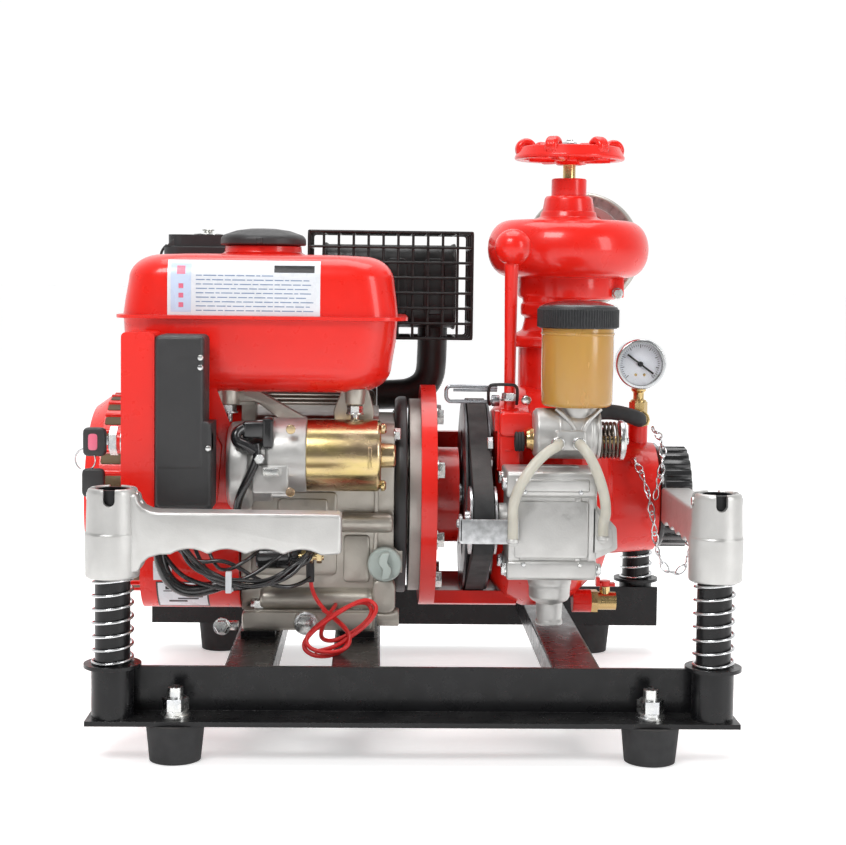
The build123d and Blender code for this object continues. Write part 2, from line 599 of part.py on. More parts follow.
def valve_bonnet():
    x, y = VALVE_X, VALVE_Y
    base = Pos(x, y, 439) * loft([RegularPolygon(27, 8), Pos(0, 0, 24) * RegularPolygon(23, 8)])
    nut = rod_z(x, y, 463, 479, 17)
    return base + nut - rod_z(x, y, 438, 480, 6.06)


def valve_disc():
    disc = rod_z(VALVE_X, VALVE_Y, 393.4, 400, 34) + rod_z(VALVE_X, VALVE_Y, 400, 412, 12)
    return disc - rod_z(VALVE_X, VALVE_Y, 404, 413, 6.06)


def handwheel():
    x, y = VALVE_X, VALVE_Y
    wheel = rod_z(0, 0, 498, 506, 49) - rod_z(0, 0, 497, 507, 37)
    wheel += rod_z(0, 0, 493, 509, 11)
    for n in range(5):
        wheel += Rot(0, 0, n * 72) * block(8, 40, -5, 5, 499, 506)
        wheel += Rot(0, 0, n * 72) * rod_z(41, 0, 498, 517, 10)
    wheel -= rod_z(0, 0, 490, 520, 6)
    stem = rod_z(0, 0, 404.3, 512, 6)
    return Pos(x, y, 0) * solids_of(wheel, stem)


def discharge_coupling():
    ring = Pos(0, 0, -112) * Cylinder(57, 22) - Pos(0, 0, -112) * Cylinder(38, 40)
    ring = fillet(ring.edges().filter_by(GeomType.CIRCLE).sort_by(SortBy.RADIUS)[-2:], 3)
    neck = Pos(0, 0, -110) * Cylinder(45, 30) - Pos(0, 0, -112) * Cylinder(37.02, 60)
    for n in range(2):
        neck += Rot(0, 0, n * 180) * Pos(46, 0, -128) * Box(12, 26, 10)
    neck -= Pos(0, 0, -112) * Cylinder(37.02, 60)
    coupling = ring + neck - Pos(0, 0, -124.65) * Cylinder(39.5, 20.7)
    return Pos(VALVE_X, VALVE_Y, 415) * Rot(0, 0, OUTLET_TURN) * Rot(90, 0, 0) * coupling


# ---- priming gear ----
def vacuum_pump():
    y, z = VAC_Y, VAC_Z
    body = rounded_block(79, 150, y - 32, y + 26, 146, 212, 6, Axis.X)
    top = rounded_block(76, 153, y - 36, y + 26, 205, 225, 5, Axis.X)
    low = rounded_block(77, 153, y - 36, y + 26, 134, 150, 5, Axis.X)
    collar = rod_z(114, y - 6, 120, 134, 17) + rod_z(114, y - 6, 97, 120, 11.5)
    rib = rounded_block(153, 163, y - 20, y + 20, 160, 205, 4, Axis.X)
    shape = body + top + low + collar + rib
    shape += rod_x(72, 79, y, z, 15)
    shape += block(77, 88, -163, -140, 150, 160) + rod_z(82, -158, 158, 170, 4.4)
    shape += block(152, 164, -155, -130, 152, 162) + rod_z(158, -150, 160, 172, 4.4)
    shape -= rod_x(70, 93, y, z, 8.05)
    shape -= rod_x(92, 140, y, z, 24)
    return shape - rod_z(114, y - 6, 96, 150, 6)


def valve_block():
    y = CUP_Y
    body = rod_x(98, 154, y, 252.5, 22) + rod_z(CUP_X, y, 252, CUP_Z0, 13)
    body += block(117, 144, -126, y, 238, 259)
    body += rod_y(HOSE_PORTS[0], -132, -124, 247, 4.4)
    body += rod_y(HOSE_PORTS[1], -132, -124, 247, 4.4)
    body += rod_y(148, -78, -62, 262, 7)
    return body - rod_z(CUP_X, y, 270, CUP_Z0 + 1, 4)


def oil_cup():
    cup = rod_z(CUP_X, CUP_Y, CUP_Z0, CUP_Z1, 31)
    return cup - rod_z(CUP_X, CUP_Y, CUP_Z0 + 4, CUP_Z1 + 1, 28.5)


def oil_cup_lid():
    lid = rod_z(CUP_X, CUP_Y, CUP_Z1 - 18, CUP_Z1 + 2, 35.5) - rod_z(CUP_X, CUP_Y, CUP_Z1 - 19, CUP_Z1 + 0.3, 31.4)
    dome = rod_z(CUP_X, CUP_Y, CUP_Z1 + 2, CUP_Z1 + 7, 29)
    return lid + dome


def priming_lever():
    x, y, z = LEVER_X, LEVER_Y, LEVER_Z
    rod = rod_z(x, y, z + 8, 400, 5.5)
    knob = Pos(x + 1, y, 413) * Sphere(16)
    hub = rod_x(x - 8, x + 8, y, z, 9.5) + rod_z(x, y, z, z + 16, 7)
    return rod + knob + hub - rod_x(x - 9, x + 9, y, z, 4.05)


def lever_fork():
    x, y, z = LEVER_X, LEVER_Y, LEVER_Z
    pin = rod_x(x - 13, x + 13, y, z, 4)
    cheeks = [block(x + s * 11 - 2, x + s * 11 + 2, y - 9, y + 9, 251.5, z + 7) for s in (-1, 1)]
    return pin + cheeks[0] + cheeks[1]


def pressure_gauge():
    x, y, z = GAUGE_X, AXIS_Y, GAUGE_Z
    case = rod_y(x, y - 14, y + 12, z, GAUGE_R) - rod_y(x, y - 15, y - 6, z, GAUGE_R - 3.5)
    stem = rod_z(x, y, 265, z - GAUGE_R + 2, 5) + hex_z(x, y, 252, 266, 15)
    stem += rod_y(x, y - 20, y, 258, 6.9)
    return case + stem


def gauge_needle():
    x, y, z = GAUGE_X, AXIS_Y, GAUGE_Z
    needle = Pos(x, y - 8.6, z) * Rot(0, 36, 0) * Box(30, 0.8, 1.6)
    return needle + rod_y(x, y - 9.4, y - 6.3, z, 2.4)


# ---- hoses and leads ----
def cord_tube(name, points, diameter):
    """A round tube along straight runs joined by tangent arcs."""
    vectors = [Vector(*p) for p in points]
    radii = []
    for before, here, after in zip(vectors, vectors[1:], vectors[2:]):
        turn = math.radians((here - before).get_angle(after - here))
        radii.append(0.45 * min((here - before).length, (after - here).length) / math.tan(turn / 2))
    path = FilletPolyline(*vectors, radius=radii)
    start = Plane(origin=path @ 0, z_dir=path % 0)
    tube = sweep(start * Circle(diameter / 2), path=path)
    expected = math.pi * diameter ** 2 / 4 * path.length
    print(name, "length", round(path.length, 1), "least radius", round(min(radii), 1),
          "volume ratio", round(tube.volume / expected, 4))
    return tube


WHITE_LEFT = [(121, -132, 247), (121, -146, 247), (110, -156, 243), (97, -161, 231), (86, -163, 214),
              (81, -161, 197), (82, -158, 184), (82, -158, 170)]
WHITE_RIGHT = [(139, -132, 247), (139, -145, 247), (146, -153, 238), (153, -157, 222), (158, -158, 205),
               (160, -153, 190), (158, -150, 184), (158, -150, 172)]
RUBBER = [(148, -62, 262), (148, -50, 262), (161, -38, 266), (180, -32, 267), (198, -29, 263),
          (209, -18, 258), (209, -2, 258)]
HARNESS = [(-195, -145, 191), (-195, -145, 172), (-190, -147, 152), (-174, -149, 137), (-154, -148, 130),
           (-132, -144, 127), (-110, -137, 132), (-93, -129, 144), (-88, -121, 150), (-88, -112, 150)]
CHAIN = [(203, -24, 221), (203, -36, 221), (208, -45, 208), (213, -49, 191), (217, -48, 171), (220, -45, 151),
         (225, -42, 133), (235, -40, 120), (247, -38, 124), (253, -36, 138), (253, -34, 150), (253, -24, 150)]
RED_LEAD = [(-88, -98, 140), (-88, -98, 126), (-86, -100, 113), (-78, -108, 102), (-68, -119, 95),
            (-59, -130, 90), (-52, -142, 84), (-54, -151, 76), (-64, -155, 73), (-76, -156, 73), (-87, -152, 76),
            (-90, -145, 82), (-83, -135, 89), (-70, -125, 97), (-54, -117, 105), (-40, -113, 108), (-33, -118, 101),
            (-40, -129, 92), (-54, -138, 84), (-67, -141, 79), (-76, -134, 79), (-78, -121, 82), (-75, -107, 88),
            (-70, -93, 95), (-66, -80, 98), (-66, -66, 98)]


# ---- fasteners ----
def fasteners():
    found = []
    for x, y in foot_places():
        found.extend(foot_fastener(x, y))
    for n in range(8):
        angle = math.radians(n * 45 + 22.5)
        y, z = AXIS_Y + 81 * math.cos(angle), AXIS_Z + 81 * math.sin(angle)
        bolt = rod_x(PTO_X, 28, y, z, 4.4) + hex_x(22, 29, y, z, 13) + rod_x(22, 23.5, y, z, 9)
        found.append(bolt)
    for x in (CROSS_X[0], CROSS_X[1]):
        for y in (CASE_Y0 - 2, CASE_Y1 - 2):
            found.append(rod_z(x, y, RAIL_TOP - 4, 96, 4.2) + hex_z(x, y, 93.2, 100, 13))
    return found


def without(shape, *others):
    """The shape with its neighbours' space taken out of it."""
    for other in others:
        shape = shape - other
    return shape


# ---- assembly ----
def build():
    parts["carrying_frame"] = solids_of(side_rails(), cross_members())
    parts["rubber_feet"] = rubber_feet()
    parts["handle_posts"] = handle_posts()
    turns = {"front_left": 0, "front_right": 90, "rear_left": 0, "rear_right": 180}
    for name, (sx, sy) in CORNERS.items():
        parts[name + "_handle"] = handle(sx, sy, turns[name])
        parts[name + "_spring"] = spring(*post_place(sx, sy))
    parts["crankcase"] = crankcase()
    parts["side_cover"] = side_cover()
    parts["cylinder_head"] = cylinder_head()
    parts["piston_and_rod"] = piston_and_rod()
    parts["crankshaft"] = crankshaft()
    parts["flywheel"] = flywheel()
    parts["fan_housing"] = fan_housing()
    parts["recoil_starter"] = recoil_starter()
    parts["fuel_tank"] = fuel_tank()
    parts["fuel_cap"] = fuel_cap()
    parts["air_cleaner"] = air_cleaner()
    parts["carburetor"] = carburetor()
    parts["muffler"] = muffler()
    parts["muffler_cage"] = muffler_cage()
    parts["control_box"] = solids_of(control_box(), key_switch())
    parts["control_box_cover"] = control_box_cover()
    parts["ignition_key"] = ignition_key()
    parts["starter_motor"] = starter_motor()
    parts["oil_cap"] = oil_cap()
    parts["coupling_flange"] = coupling_flange()
    parts["pump_bracket"] = pump_bracket()
    parts["drive_pulley"] = drive_pulley()
    parts["drive_belt"] = drive_belt()
    parts["vacuum_rotor"] = vacuum_rotor()
    parts["volute_casing"] = solids_of(volute_casing(), lever_fork())
    parts["suction_cover"] = suction_cover()
    parts["impeller"] = impeller()
    parts["suction_cap"] = suction_cap()
    parts["drain_cock"] = drain_cock()
    parts["drain_lever"] = drain_lever()
    parts["valve_body"] = valve_body()
    parts["valve_bonnet"] = valve_bonnet()
    parts["valve_disc"] = valve_disc()
    parts["handwheel"] = handwheel()
    parts["discharge_coupling"] = discharge_coupling()
    parts["vacuum_pump"] = vacuum_pump()
    parts["valve_block"] = valve_block()
    parts["oil_cup"] = oil_cup()
    parts["oil_cup_lid"] = oil_cup_lid()
    parts["priming_lever"] = priming_lever()
    parts["pressure_gauge"] = pressure_gauge()
    parts["gauge_needle"] = gauge_needle()
    bolts = solids_of(*fasteners())
    parts["fasteners"] = bolts
    parts["crankcase"] = without(parts["crankcase"], bolts, parts["starter_motor"])
    parts["fan_housing"] = without(parts["fan_housing"], parts["starter_motor"])
    parts["muffler_cage"] = without(parts["muffler_cage"], rod_z(22, 112, 320, 335, 16))
    parts["priming_hose_left"] = cord_tube("priming_hose_left", WHITE_LEFT, 8.8)
    parts["priming_hose_right"] = cord_tube("priming_hose_right", WHITE_RIGHT, 8.8)
    parts["vacuum_hose"] = cord_tube("vacuum_hose", RUBBER, 14)
    parts["wiring_harness"] = cord_tube("wiring_harness", HARNESS, 9)
    parts["starter_lead"] = cord_tube("starter_lead", RED_LEAD, 3.6)
    parts["cap_chain"] = cord_tube("cap_chain", CHAIN, 5)


build()
for name, shape in parts.items():
    placed = Pos(FRAME_X, -FRAME_Y, 0) * shape
    export_step(placed, "parts/" + name + ".step")
print(len(parts), "nodes")
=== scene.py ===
import json
from math import copysign, cos, pi, radians, sin, sqrt

import bmesh
import bpy
from mathutils import Matrix, Vector


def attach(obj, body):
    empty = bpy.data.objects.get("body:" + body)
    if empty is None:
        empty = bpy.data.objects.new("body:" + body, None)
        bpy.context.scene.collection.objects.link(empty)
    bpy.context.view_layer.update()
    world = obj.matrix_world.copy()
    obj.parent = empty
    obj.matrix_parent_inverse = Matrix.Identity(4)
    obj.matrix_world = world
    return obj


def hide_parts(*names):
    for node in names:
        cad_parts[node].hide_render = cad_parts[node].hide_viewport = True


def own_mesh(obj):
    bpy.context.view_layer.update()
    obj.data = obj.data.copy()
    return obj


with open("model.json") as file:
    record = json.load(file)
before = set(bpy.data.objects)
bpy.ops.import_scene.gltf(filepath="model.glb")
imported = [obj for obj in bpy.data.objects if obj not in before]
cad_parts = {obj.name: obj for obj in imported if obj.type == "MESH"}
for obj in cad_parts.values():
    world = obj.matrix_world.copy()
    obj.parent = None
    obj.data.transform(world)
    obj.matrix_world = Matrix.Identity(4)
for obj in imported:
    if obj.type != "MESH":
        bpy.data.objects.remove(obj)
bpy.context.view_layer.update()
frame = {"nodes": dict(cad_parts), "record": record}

# The machine is drawn in millimetres about its own middle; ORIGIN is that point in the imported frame.
ORIGIN = Vector((13.5, 12.0, 0.0))
X, Y, Z = Vector((1, 0, 0)), Vector((0, 1, 0)), Vector((0, 0, 1))
# The crankshaft, the pump and the suction line share one axis along X.
AXIS_Y, AXIS_Z = 18.0, 184.0
AXLE = (0, AXIS_Y, AXIS_Z)
# The handle posts stand POST_X and POST_Y off the middle of the carrying frame.
FRAME_Y, POST_X, POST_Y = -12.0, 240.0, 201.5
FILLER = (-135, -25, 0)
TANK_LEFT, TANK_RIGHT, TANK_FRONT, TANK_BACK = -251.5, -14.5, -112.0, 62.0
SEAM_Z, SHOULDER_Z, SHOULDER_R = 348.0, 381.0, 22.0
FAN_FRONT, FAN_CORNER_Z, FAN_CORNER_R = -93.0, 136.0, 46.0
CORNERS = {"front_left": (-1, -1), "front_right": (1, -1), "rear_left": (-1, 1), "rear_right": (1, 1)}


def metres(point):
    return (Vector(point) + ORIGIN) / 1000


def put(name, data):
    """Adds a mesh, curve, lamp or camera to the scene."""
    obj = bpy.data.objects.new(name, data)
    bpy.context.scene.collection.objects.link(obj)
    return obj


# ---- materials ----
LOOKS = {}
RANGE_SOCKETS = ("From Min", "From Max", "To Min", "To Max")


def surface(name, colour, rough, metal=0.0, *, second=None, mottle=0.25, mottle_scale=30.0, grain=0.15,
        grain_scale=900.0, spread=0.08, coat=0.0, edge=0.0007, worn=0.0, worn_colour=(0.6, 0.6, 0.6),
        dust=0.0, stretch=(1, 1, 1), tune=None):
    """A painted, cast or moulded surface: mottled colour, uneven gloss, fine grain, soft or worn edges."""
    material = bpy.data.materials.new(name)
    material.use_nodes = True
    nodes, links = material.node_tree.nodes, material.node_tree.links
    shader = nodes["Principled BSDF"]
    place = nodes.new("ShaderNodeTexCoord")
    mapping = nodes.new("ShaderNodeMapping")
    mapping.inputs["Scale"].default_value = stretch
    links.new(place.outputs["Object"], mapping.inputs["Vector"])

    def noise(scale, detail):
        node = nodes.new("ShaderNodeTexNoise")
        node.inputs["Scale"].default_value = scale
        node.inputs["Detail"].default_value = detail
        links.new(mapping.outputs["Vector"], node.inputs["Vector"])
        return node.outputs["Fac"]

    def blend(factor, a, b):
        node = nodes.new("ShaderNodeMix")
        node.data_type = "RGBA"
        for socket, value in (("Factor", factor), ("A", a), ("B", b)):
            target = [s for s in node.inputs if s.name == socket and s.enabled][0]
            if isinstance(value, bpy.types.NodeSocket):
                links.new(value, target)
            else:
                target.default_value = value if isinstance(value, float) else (*value, 1)
        return [s for s in node.outputs if s.enabled][0]

    def spread_out(value, low, high, to_low, to_high):
        node = nodes.new("ShaderNodeMapRange")
        for socket, number in zip(RANGE_SOCKETS, (low, high, to_low, to_high)):
            node.inputs[socket].default_value = number
        links.new(value, node.inputs["Value"])
        return node.outputs["Result"]

    def times(a, b):
        node = nodes.new("ShaderNodeMath")
        node.operation = "MULTIPLY"
        links.new(a, node.inputs[0])
        links.new(b, node.inputs[1])
        return node.outputs[0]

    broad = noise(mottle_scale, 5)
    fine = noise(grain_scale, 3)
    patches = spread_out(broad, 0.3, 0.7, 0, 1)
    light = second or [min(1, c * (1 + mottle * 0.5)) for c in colour]
    tone = blend(patches, [c * (1 - mottle) for c in colour], light)
    rounded = nodes.new("ShaderNodeBevel")
    rounded.samples = 4
    rounded.inputs["Radius"].default_value = edge
    geometry = nodes.new("ShaderNodeNewGeometry")
    if dust:
        split = nodes.new("ShaderNodeSeparateXYZ")
        links.new(geometry.outputs["Normal"], split.inputs[0])
        up = spread_out(split.outputs["Z"], 0.6, 1.0, 0, dust)
        tone = blend(times(up, patches), tone, (0.42, 0.40, 0.37))
    if worn:
        dot = nodes.new("ShaderNodeVectorMath")
        dot.operation = "DOT_PRODUCT"
        links.new(rounded.outputs["Normal"], dot.inputs[0])
        links.new(geometry.outputs["Normal"], dot.inputs[1])
        edges = spread_out(dot.outputs["Value"], 0.985, 0.86, 0, 1)
        chips = spread_out(noise(260.0, 4), 0.52, 0.64, 0, worn)
        tone = blend(times(edges, chips), tone, worn_colour)
    links.new(tone, shader.inputs["Base Color"])
    low, high = max(0.03, rough - spread), min(1, rough + spread)
    links.new(spread_out(noise(mottle_scale * 3, 6), 0.3, 0.7, low, high), shader.inputs["Roughness"])
    bump = nodes.new("ShaderNodeBump")
    bump.inputs["Strength"].default_value = grain
    bump.inputs["Distance"].default_value = 0.0004
    links.new(fine, bump.inputs["Height"])
    links.new(rounded.outputs["Normal"], bump.inputs["Normal"])
    links.new(bump.outputs["Normal"], shader.inputs["Normal"])
    shader.inputs["Metallic"].default_value = metal
    shader.inputs["Coat Weight"].default_value = coat
    shader.inputs["Coat Roughness"].default_value = 0.12
    for socket, value in (tune or {}).items():
        shader.inputs[socket].default_value = value
    material.diffuse_color = (*colour, 1)
    LOOKS[name] = material


surface("red_paint", (0.76, 0.015, 0.008), 0.30, mottle=0.035, grain=0.03, grain_scale=420, spread=0.04,
    coat=0.35, dust=0.01, tune={"Coat Roughness": 0.05, "Specular IOR Level": 0.35})
surface("black_frame_paint", (0.008, 0.008, 0.009), 0.30, mottle=0.3, grain=0.05, grain_scale=350,
    coat=0.15, worn=0.35, worn_colour=(0.16, 0.16, 0.16), dust=0.03, tune={"Specular IOR Level": 0.25})
surface("rubber", (0.018, 0.018, 0.019), 0.72, mottle=0.35, grain=0.35, grain_scale=700, dust=0.12)
surface("zinc", (0.62, 0.64, 0.67), 0.27, 1.0, mottle=0.14, mottle_scale=70, grain=0.03, grain_scale=1200,
    second=(0.76, 0.76, 0.72), edge=0.0005)
surface("cast_aluminium", (0.56, 0.555, 0.54), 0.40, 0.70, mottle=0.08, mottle_scale=45, grain=0.28,
    grain_scale=650, spread=0.08, worn=0.4, worn_colour=(0.85, 0.85, 0.85))
surface("grey_iron", (0.40, 0.38, 0.35), 0.42, 0.6, mottle=0.16, grain=0.3, grain_scale=500,
    stretch=(1, 1, 0.2))
surface("steel", (0.55, 0.55, 0.56), 0.28, 1.0, mottle=0.2, grain=0.2, grain_scale=500, stretch=(6, 1, 1),
    edge=0.0004)
surface("black_plastic", (0.020, 0.021, 0.023), 0.48, mottle=0.2, grain=0.45, grain_scale=1500, dust=0.06,
    worn=0.3, worn_colour=(0.12, 0.12, 0.12))
surface("black_enamel", (0.016, 0.016, 0.016), 0.42, 0.1, mottle=0.4, grain=0.3, grain_scale=500, worn=0.3,
    worn_colour=(0.2, 0.17, 0.14))
surface("yellow_zinc", (0.66, 0.52, 0.22), 0.25, 1.0, second=(0.62, 0.46, 0.34), mottle=0.08,
    mottle_scale=16, grain=0.04, grain_scale=900, stretch=(1, 2, 3), edge=0.0004)
surface("brass", (0.66, 0.48, 0.22), 0.25, 1.0, mottle=0.15, grain=0.04, grain_scale=800, edge=0.0004)
surface("silicone", (0.52, 0.50, 0.43), 0.36, mottle=0.12, mottle_scale=60, grain=0.1, edge=0.0002,
    tune={"Subsurface Weight": 0.25, "Subsurface Radius": (0.004, 0.003, 0.002)})
surface("red_insulation", (0.70, 0.02, 0.02), 0.35, mottle=0.12, grain=0.1, edge=0.0002)
surface("chain_steel", (0.66, 0.67, 0.68), 0.20, 1.0, mottle=0.12, grain=0.03, edge=0.0003)
surface("spring_steel", (0.70, 0.71, 0.72), 0.22, 1.0, mottle=0.12, grain=0.05, edge=0.0002)
surface("white_print", (0.74, 0.76, 0.80), 0.3, mottle=0.05, grain=0.05, coat=0.3)
surface("blue_print", (0.22, 0.30, 0.45), 0.3, mottle=0.08, grain=0.05, coat=0.3)
surface("black_print", (0.02, 0.02, 0.022), 0.35, mottle=0.08, grain=0.05)
surface("pink_plastic", (0.75, 0.16, 0.25), 0.3, mottle=0.1, grain=0.1)
surface("amber_cup", (0.64, 0.36, 0.055), 0.20, second=(0.56, 0.30, 0.09), mottle=0.10, mottle_scale=16,
    grain=0.02, coat=0.35, stretch=(1, 1, 0.3), tune={"Transmission Weight": 0.18, "Subsurface Weight": 0.3,
    "Subsurface Radius": (0.01, 0.006, 0.002)})
surface("oil", (0.70, 0.40, 0.08), 0.12, mottle=0.2, mottle_scale=40, grain=0.02)
surface("gauge_glass", (0.97, 0.98, 1.0), 0.03, mottle=0.12, mottle_scale=25, grain=0.05, spread=0.03,
    tune={"Transmission Weight": 1.0, "IOR": 1.1})
surface("black_gloss", (0.014, 0.014, 0.015), 0.22, mottle=0.2, grain=0.06, coat=0.5)
surface("charcoal", (0.030, 0.030, 0.031), 0.42, mottle=0.15, grain=0.35, grain_scale=1600, dust=0.04)
surface("dark_pulley", (0.10, 0.10, 0.105), 0.35, 0.8, mottle=0.2, grain=0.1)
# Painted shade: the dark of the recoil housing's slot openings, laid on as blocks instead of cut holes.
surface("louvre_painted_shade", (0.10, 0.07, 0.03), 0.5, 0.4, mottle=0.3, grain=0.2)
surface("dark_spring", (0.16, 0.13, 0.11), 0.3, 1.0, mottle=0.3, grain=0.15)
surface("galvanised", (0.50, 0.51, 0.52), 0.38, 1.0, second=(0.66, 0.67, 0.68), mottle=0.3,
    mottle_scale=160, grain=0.25)
surface("engine_cast", (0.47, 0.44, 0.39), 0.40, 0.68, mottle=0.12, mottle_scale=35, grain=0.3,
    grain_scale=520, spread=0.1)
surface("grey_green", (0.42, 0.48, 0.45), 0.42, mottle=0.12, grain=0.3)
surface("dial_white", (0.90, 0.93, 1.0), 0.35, mottle=0.06, mottle_scale=12, grain=0.03)
surface("zinc_dull", (0.36, 0.37, 0.39), 0.30, 1.0, mottle=0.15, grain=0.03)
surface("pale_blue", (0.56, 0.66, 0.84), 0.3, mottle=0.06, grain=0.05)


# ---- mesh building ----
def dress(mesh, material, angle=38):
    """Gives a mesh its look, smooth except over sharp edges."""
    mesh.materials.clear()
    mesh.materials.append(LOOKS[material])
    mesh.polygons.foreach_set("use_smooth", [True] * len(mesh.polygons))
    mesh.set_sharp_from_angle(angle=radians(angle))


def soften(profile, radius, steps=4):
    """The outline with its corners rounded."""
    points = [Vector(p) for p in profile]
    out = [points[0]]
    for before, here, after in zip(points, points[1:], points[2:]):
        a, b = before - here, after - here
        if a.length < 1e-6 or b.length < 1e-6 or a.angle(b) > radians(172):
            out.append(here)
            continue
        reach = min(radius, 0.45 * a.length, 0.45 * b.length)
        first, last = here + a.normalized() * reach, here + b.normalized() * reach
        for n in range(steps + 1):
            t = n / steps
            out.append(first * (1 - t) ** 2 + here * 2 * t * (1 - t) + last * t ** 2)
    out.append(points[-1])
    return out


def facing(axis):
    """The turn that takes Z to this axis."""
    return Z.rotation_difference(Vector(axis).normalized()).to_matrix()


def skin(bm, rows, closed=True):
    """Faces between neighbouring rows of vertices. A row may be one vertex."""
    for a, b in zip(rows, rows[1:]):
        count = max(len(a), len(b))
        for k in range(count if closed else count - 1):
            corners = (a[k % len(a)], a[(k + 1) % len(a)], b[(k + 1) % len(b)], b[k % len(b)])
            if len(set(corners)) > 2:
                bm.faces.new(list(dict.fromkeys(corners)))


def circle(bm, count, r, along, turn, foot):
    """A ring of vertices about an axis, or one vertex where it meets the axis."""
    if r < 1e-4:
        return [bm.verts.new(turn @ Vector((0, 0, along)) + foot)]
    angles = [2 * pi * n / count for n in range(count)]
    return [bm.verts.new(turn @ Vector((r * cos(a), r * sin(a), along)) + foot) for a in angles]


# Which of X, Y and Z an outline's width, its height and its thickness run along.
SPANS = {"Z": (0, 1, 2), "X": (1, 2, 0), "Y": (0, 2, 1)}


class Piece:
    """One visible piece: shapes in the machine's millimetres, joined in one mesh."""

    def __init__(self, name):
        self.name = name
        self.bm = bmesh.new()

    def join(self, bm):
        """Cleans a shape and adds it to this piece."""
        bmesh.ops.remove_doubles(bm, verts=bm.verts, dist=1e-4)
        bmesh.ops.recalc_face_normals(bm, faces=bm.faces)
        mesh = bpy.data.meshes.new("part")
        bm.to_mesh(mesh)
        bm.free()
        self.bm.from_mesh(mesh)
        bpy.data.meshes.remove(mesh)
        return self

    def lathe(self, profile, origin, axis, radius=1.0, steps=56, hollow=False):
        """A turned shape from (distance along the axis, radius) pairs, closed at both ends unless hollow."""
        bm = bmesh.new()
        turn, foot = facing(axis), Vector(origin)
        if not hollow:
            profile = [(profile[0][0], 0), *profile, (profile[-1][0], 0)]
        skin(bm, [circle(bm, steps, r, along, turn, foot) for along, r in soften(profile, radius)])
        return self.join(bm)

    def prism(self, outline, low, high, axis="Z", radius=0.0, edge=1.0, segments=2):
        """A plate of any outline: XY for axis Z, YZ for axis X, XZ for axis Y."""
        bm = bmesh.new()
        flat = outline
        if radius:
            loop = list(outline)
            middle = (Vector(loop[0]) + Vector(loop[-1])) / 2
            flat = soften([middle] + loop + [middle], radius)[:-1]

        def place(*sizes):
            return Vector([size for _, size in sorted(zip(SPANS[axis], sizes))])

        verts = [bm.verts.new(place(u, v, low)) for u, v in flat]
        face = bm.faces.new(verts)
        lifted = bmesh.ops.extrude_face_region(bm, geom=[face])
        far = [v for v in lifted["geom"] if isinstance(v, bmesh.types.BMVert)]
        bmesh.ops.translate(bm, verts=far, vec=place(0, 0, high - low))
        bmesh.ops.recalc_face_normals(bm, faces=bm.faces)
        if edge:
            sharp = [e for e in bm.edges if len(e.link_faces) == 2 and e.calc_face_angle(0) > radians(50)]
            bmesh.ops.bevel(bm, geom=sharp, offset=edge, segments=segments, profile=0.5, affect="EDGES",
                clamp_overlap=True)
        return self.join(bm)

    def block(self, x0, x1, y0, y1, z0, z1, radius=0.0, axis="Z", edge=1.0, segments=2):
        spans = ((x0, x1), (y0, y1), (z0, z1))
        (u0, u1), (v0, v1), (w0, w1) = (spans[k] for k in SPANS[axis])
        return self.prism([(u0, v0), (u1, v0), (u1, v1), (u0, v1)], w0, w1, axis, radius, edge, segments)

    def rod(self, start, end, r, edge=0.6, steps=32):
        axis = Vector(end) - Vector(start)
        return self.lathe([(0, r), (axis.length, r)], start, axis, edge, steps)

    def hexagon(self, start, axis, height, across, washer=0.0):
        """A bolt head or nut with a chamfered crown, and a washer face if asked."""
        turn, foot = facing(axis), Vector(start)
        bm = bmesh.new()
        r = across / sqrt(3)
        sections = ((0, r), (height - 0.8, r), (height, r * 0.86))
        rings = [circle(bm, 6, size, z, turn, foot) for z, size in sections]
        bm.faces.new(rings[0])
        bm.faces.new(rings[-1])
        skin(bm, rings)
        self.join(bm)
        if washer:
            self.lathe([(0, washer), (1.6, washer)], start, axis, 0.4, 32)
        return self

    def ring(self, centre, axis, major, minor, steps=40, sides=12):
        """A round ring with a round section."""
        bm = bmesh.new()
        turn, middle = facing(axis), Vector(centre)
        grid = []
        for n in range(steps):
            a = 2 * pi * n / steps
            row = []
            for k in range(sides):
                b = 2 * pi * k / sides
                r = major + minor * cos(b)
                row.append(bm.verts.new(turn @ Vector((r * cos(a), r * sin(a), minor * sin(b))) + middle))
            grid.append(row)
        skin(bm, grid + grid[:1])
        return self.join(bm)

    def sweep(self, points, r, smooth=True, sides=14):
        """A round bar along a path."""
        path = [Vector(p) for p in (curve_points(points) if smooth else soften(points, r * 3))]
        bm = bmesh.new()
        angles = [2 * pi * k / sides for k in range(sides)]
        rows = []
        side = None
        for n, here in enumerate(path):
            along = (path[min(n + 1, len(path) - 1)] - path[max(n - 1, 0)]).normalized()
            if side is None:
                side = along.orthogonal().normalized()
            side = (side - along * side.dot(along)).normalized()
            other = along.cross(side)
            rows.append([bm.verts.new(here + r * (side * cos(a) + other * sin(a))) for a in angles])
        skin(bm, rows)
        bm.faces.new(rows[0])
        bm.faces.new(rows[-1])
        return self.join(bm)

    def patch(self, other):
        """Adds another piece's faces as they are."""
        mesh = bpy.data.meshes.new("patch")
        other.bm.to_mesh(mesh)
        other.bm.free()
        self.bm.from_mesh(mesh)
        bpy.data.meshes.remove(mesh)
        return self

    def cut(self, other):
        """Takes another piece's shape out of this one."""
        objects = []
        for piece in (self, other):
            mesh = bpy.data.meshes.new("cut")
            piece.bm.to_mesh(mesh)
            objects.append(put("cut", mesh))
        tool = objects[0].modifiers.new("cut", "BOOLEAN")
        tool.object = objects[1]
        tool.solver = "EXACT"
        tool.use_self = True
        result = objects[0].evaluated_get(bpy.context.evaluated_depsgraph_get()).to_mesh()
        self.bm.free()
        self.bm = bmesh.new()
        self.bm.from_mesh(result)
        for obj in objects:
            bpy.data.objects.remove(obj)
        return self

